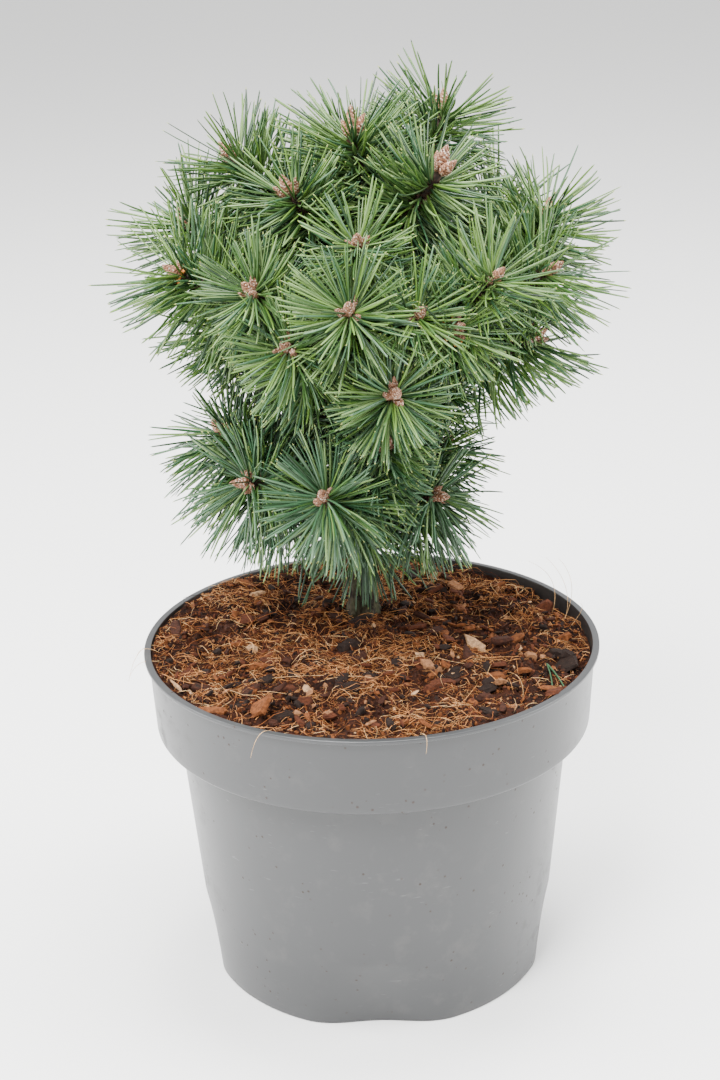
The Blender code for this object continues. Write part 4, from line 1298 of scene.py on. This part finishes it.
# %% Where needles are dense, dark or hanging
NEEDLE_PIECES = {
    "sprays_low": ("low_left", "low_front", "low_right", "low_back_right", "low_back_left"),
    "sprays_middle": (
        "middle_front_left",
        "middle_front",
        "middle_right",
        "middle_back_right",
        "middle_back",
        "middle_back_left",
    ),
    "sprays_upper_front": ("upper_left", "upper_front", "upper_front_right", "upper_right"),
    "sprays_upper_back": ("upper_back_right", "upper_back", "upper_back_left"),
    "sprays_top": (
        "top_front_right",
        "top_front_left",
        "top_back_right",
        "top_back",
        "top_back_left",
        "leader",
    ),
}
PAIRS_PER_SHOOT = 168
OLD_PAIRS_PER_SHOOT = 16
OLD_PAIRS_PER_BOUGH = 18
PAIRS_ON_BARE_BOUGHS = {"low_front": 96, "low_right": 8, "low_back_right": 4, "middle_right": 8}
THIN_SHOOTS = {"low_right": 0.8, "low_back_right": 0.6, "middle_right": 0.85}
NEEDLE_ZONE = (0.5 * MM, 36 * MM)
TOP_ZONE = (4 * MM, 35 * MM)
OPEN_ZONES = {"leader": (5 * MM, 30 * MM), "top_front_right": (9 * MM, 38 * MM)}
SPLAY = (math.radians(50), math.radians(100))
OPEN_SPLAY = (math.radians(52), math.radians(100))
WIDE_SPLAY = (math.radians(63), math.radians(106))
OLD_SPLAY = (math.radians(70), math.radians(105))
OLD_SHARE = 0.5
NEEDLED_SHARE = 0.7
NEEDLED_SHARES = {"low_front": 0.95}
BLUE_SHARE = 0.16
BLUE_SHARES = {"sprays_low": 0.7, "sprays_middle": 0.35}
DEEP_SHARES = {"sprays_low": 0.3, "sprays_top": 0.18}
SAG_START = 0.35
SAGS = {
    "low_left": 0.3,
    "low_right": 0.36,
    "low_back_left": 0.16,
    "low_back_right": 0.26,
    "low_front": 0.1,
}


def sprays_of(name, label):
    """Each stretch of stem that bears needles: line, pairs, zone, splays, dark share and length."""
    zone = TOP_ZONE if label == "sprays_top" else NEEDLE_ZONE
    splay = WIDE_SPLAY if name == "top_back_right" else SPLAY
    if name in OPEN_ZONES:
        zone, splay = OPEN_ZONES[name], OPEN_SPLAY
    line, _, shoots = plan[name]
    pairs = round(PAIRS_PER_SHOOT * THIN_SHOOTS.get(name, 1))
    young = DEEP_SHARES.get(label, 0.0)
    sprays = []
    for _, _, stem, needle in shoots:
        stem_length = lengths_along(stem)[-1]
        sprays.append((stem, pairs, (zone[0], min(zone[1], stem_length)), splay, young, needle))
        if stem_length > zone[1]:
            old_zone = (zone[1], stem_length)
            sprays.append((stem, OLD_PAIRS_PER_SHOOT, old_zone, OLD_SPLAY, OLD_SHARE, needle))
    if line is not None:
        reach = NEEDLED_SHARES.get(name, NEEDLED_SHARE) * np.linalg.norm(line[-1] - line[0])
        old_pairs = PAIRS_ON_BARE_BOUGHS.get(name, OLD_PAIRS_PER_BOUGH)
        sprays.append((line, old_pairs, (0, reach), OLD_SPLAY, OLD_SHARE, shoots[0][3]))
    return sprays


# %% Grow the needles on every shoot
needle_parts = closed_tube_faces(len(NEEDLE_STOPS), len(NEEDLE_SECTION))
rng = np.random.default_rng(7)
for label, names in NEEDLE_PIECES.items():
    arrays, kinds, fan_kinds = [], [], []
    blue = BLUE_SHARES.get(label, BLUE_SHARE)
    for name in names:
        for stem, count, span, splays, deep, length in sprays_of(name, label):
            roots, ways, flats, bends, longs = needle_pairs(stem, count, span, splays, length, rng)
            bends[:, 2] -= SAGS.get(name, 0) * np.clip(SAG_START - ways[:, 2], 0, 1)
            longs = above_mix(roots, ways, bends, longs)
            arrays.append(needle_points(roots, ways, flats, bends, longs))
            side_kinds, end_kinds = needle_kinds(len(roots), blue, deep, rng)
            kinds.append(side_kinds)
            fan_kinds.append(end_kinds)
    points = np.concatenate(arrays)
    faces = repeated_faces(needle_parts, len(points), points.shape[1])
    kinds = np.concatenate([*kinds, *fan_kinds])
    piece = add_piece(label, points.reshape(-1, 3), faces, needle_materials, kinds)
    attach(piece, "root")
    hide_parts(*[f"needles_{name}" for name in names])

# %% [markdown]
# ## Buds
# Winter buds sit in a cluster on each shoot's end: one tall in the middle and a few round it. Each is
# egg-shaped and shingled with narrow scales, red-brown with a crust of white resin. Each scale is darker
# at its foot, under the scale above, as painted shade, and paler at its raised edge, partly resin and
# partly painted highlight.

# %% The shape of a bud
BUD_ROWS = 22
BUD_COLUMNS = 16
BUD_TURNS = 6.5
SCALE_RELIEF = 0.12
BUD_TINTS = [(0.065, 0.025, 0.014), (0.19, 0.085, 0.047), (0.34, 0.185, 0.12), (0.56, 0.43, 0.35)]
bud_materials = [
    mottled_and_shaded(f"bud_tint_{i}", tint, size=0.8 * MM, roughness=0.6) for i, tint in enumerate(BUD_TINTS)
]


def bud_points(place, way, length, radius):
    """An egg along a way, whose scales rise in a saw-tooth along two crossing spirals."""
    v = np.linspace(0.02, 0.985, BUD_ROWS)[:, None]
    u = (np.arange(BUD_COLUMNS) * 2 * math.pi / BUD_COLUMNS)[None]
    egg = radius * np.sin(math.pi * v**0.72) ** 0.62 * (1 - 0.25 * v)
    phase = (v * BUD_TURNS + u * 5 / (2 * math.pi)) % 1
    cross = (v * BUD_TURNS - u * 3 / (2 * math.pi)) % 1
    scale = SCALE_RELIEF * radius * (phase + 0.6 * cross)
    reach = egg + scale * np.sin(math.pi * v)
    spare = unit(np.cross(way, np.array([0.35, 0.12, 0.93])))
    other = np.cross(way, spare)
    rings = place + way * (v * length)[..., None] + spare * (reach * np.cos(u))[..., None]
    rings = rings + other * (reach * np.sin(u))[..., None]
    poles = np.stack([place, place + way * length])
    # How far up its scale each face lies, which sets its tint: painted shade low down, and resin with a
    # painted highlight at the raised edge.
    pale = phase[:-1] + 0.4 * cross[:-1]
    return np.vstack([rings.reshape(-1, 3), poles]), pale.reshape(-1)


# %% A cluster of buds on every shoot
BUD_STEPS = [0.34, 0.82, 1.2]
BUD_STEP_SPREAD = 0.22
BUD_LONG = 11 * MM
BUD_WIDE = 2.6 * MM
BUD_SUNK = 3.5 * MM
BUD_SPACING = 4 * MM
BUD_SIZES = (0.95, 1.12)
SIDE_BUD_SIZES = (0.6, 0.88)
SIDE_BUD_LEANS = (0.4, 0.7)
LEADER_BUDS = 1.25
rng = np.random.default_rng(23)
bud_parts, bud_faces, bud_kinds, bud_fan_faces, bud_fan_kinds = [], [], [], [], []
quads, fans = closed_tube_faces(BUD_ROWS, BUD_COLUMNS)
for name, (_, _, shoots) in plan.items():
    for bud, way, _, _ in shoots:
        leading = name in ("leader", "top_front_right")
        size = rng.uniform(*BUD_SIZES) * (LEADER_BUDS if leading else 1.0)
        around = 4 if leading else int(rng.integers(2, 4))
        spare = unit(np.cross(way, np.array([0.2, 0.4, 0.9])))
        ways = [way]
        for i in range(around):
            turn = 2 * math.pi * (i + rng.random() * 0.4) / around
            lean = spare * math.cos(turn) + np.cross(way, spare) * math.sin(turn)
            ways.append(unit(way + lean * rng.uniform(*SIDE_BUD_LEANS)))
        for i, bud_way in enumerate(ways):
            part = 1.0 if i == 0 else rng.uniform(*SIDE_BUD_SIZES)
            foot = bud - way * BUD_SUNK + (bud_way - way) * BUD_SPACING
            points, pale = bud_points(foot, bud_way, BUD_LONG * size * part, BUD_WIDE * size * part)
            offset = sum(len(made) for made in bud_parts)
            bud_parts.append(points)
            bud_faces.append(quads + offset)
            bud_fan_faces.append(fans + offset)
            # Tints step up each scale: the darkest is painted shade, and the palest is partly resin and
            # partly painted highlight.
            draw = pale + rng.normal(0, BUD_STEP_SPREAD, len(pale))
            bud_kinds.append(np.digitize(draw, BUD_STEPS))
            bud_fan_kinds.append(np.full(len(fans), 1))
buds = add_piece(
    "winter_buds",
    np.vstack(bud_parts),
    [np.vstack(bud_faces), np.vstack(bud_fan_faces)],
    bud_materials,
    np.concatenate([*bud_kinds, *bud_fan_kinds]),
)
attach(buds, "root")

# %% [markdown]
# A few dry scales curl away below two of the buds, and one pair of needles has dropped on the mix.
# They are the same blade as a needle, some of them wide and short.

# %% Dry scales and a fallen pair
SCALE_COUNT = 7
SCALE_LONG = 8 * MM
SCALE_WIDE = 2.4 * MM
SCALE_LENGTHS = (0.6, 1.1)
SCALE_FOOT = 2 * MM
SCALE_LEAN = 0.55
SCALE_DROOP = 0.3
SCALY_SHOOTS = [("upper_left", 0), ("upper_front_right", 1)]
dry = mottled_and_shaded("dry_scale", (0.42, 0.15, 0.035), size=1.5 * MM, roughness=0.7)
blade_points, blade_kinds = [], []
for name, number in SCALY_SHOOTS:
    bud, way, _, _ = plan[name][2][number]
    spare = unit(np.cross(way, np.array([0.2, 0.4, 0.9])))
    turn = np.arange(SCALE_COUNT) * GOLDEN_ANGLE
    round_way = spare * np.cos(turn)[:, None] + np.cross(way, spare) * np.sin(turn)[:, None]
    ways = unit(way * SCALE_LEAN + round_way)
    flats = unit(np.cross(np.cross(way, round_way), ways))
    longs = SCALE_LONG * rng.uniform(*SCALE_LENGTHS, SCALE_COUNT)
    roots = bud - way * BUD_SUNK + round_way * SCALE_FOOT
    droop = np.tile(-SCALE_DROOP * way, (SCALE_COUNT, 1))
    blades = needle_points(roots, ways, flats, droop, longs, SCALE_WIDE)
    blade_points.append(blades)
    blade_kinds.append(np.zeros(SCALE_COUNT, int))
FALLEN_AT = np.array([84 * MM, -34 * MM])
FALLEN_LIFT = 4 * MM
FALLEN_LONG = 30 * MM
fallen_ways = unit(np.array([[0.1, -1, -0.08], [0.32, -1, -0.02]]))
fallen_root = np.array([[*FALLEN_AT, float(mix_height(*FALLEN_AT)) + FALLEN_LIFT]] * 2)
fallen_flats = unit(np.cross(fallen_ways, np.array([0, 0, 1.0])))
fallen_longs = np.full(2, FALLEN_LONG)
fallen = needle_points(fallen_root, fallen_ways, fallen_flats, 0.1 * fallen_flats, fallen_longs)
blade_points.append(fallen)
blade_kinds.append(np.ones(2, int))
blades = np.concatenate(blade_points)
blade_faces = repeated_faces(needle_parts, len(blades), blades.shape[1])
blade_kinds = repeated_kinds(needle_parts, np.concatenate(blade_kinds))
blade_tints = [dry, needle_materials[BLUE]]
blade_piece = add_piece("dry_scales", blades.reshape(-1, 3), blade_faces, blade_tints, blade_kinds)
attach(blade_piece, "root")
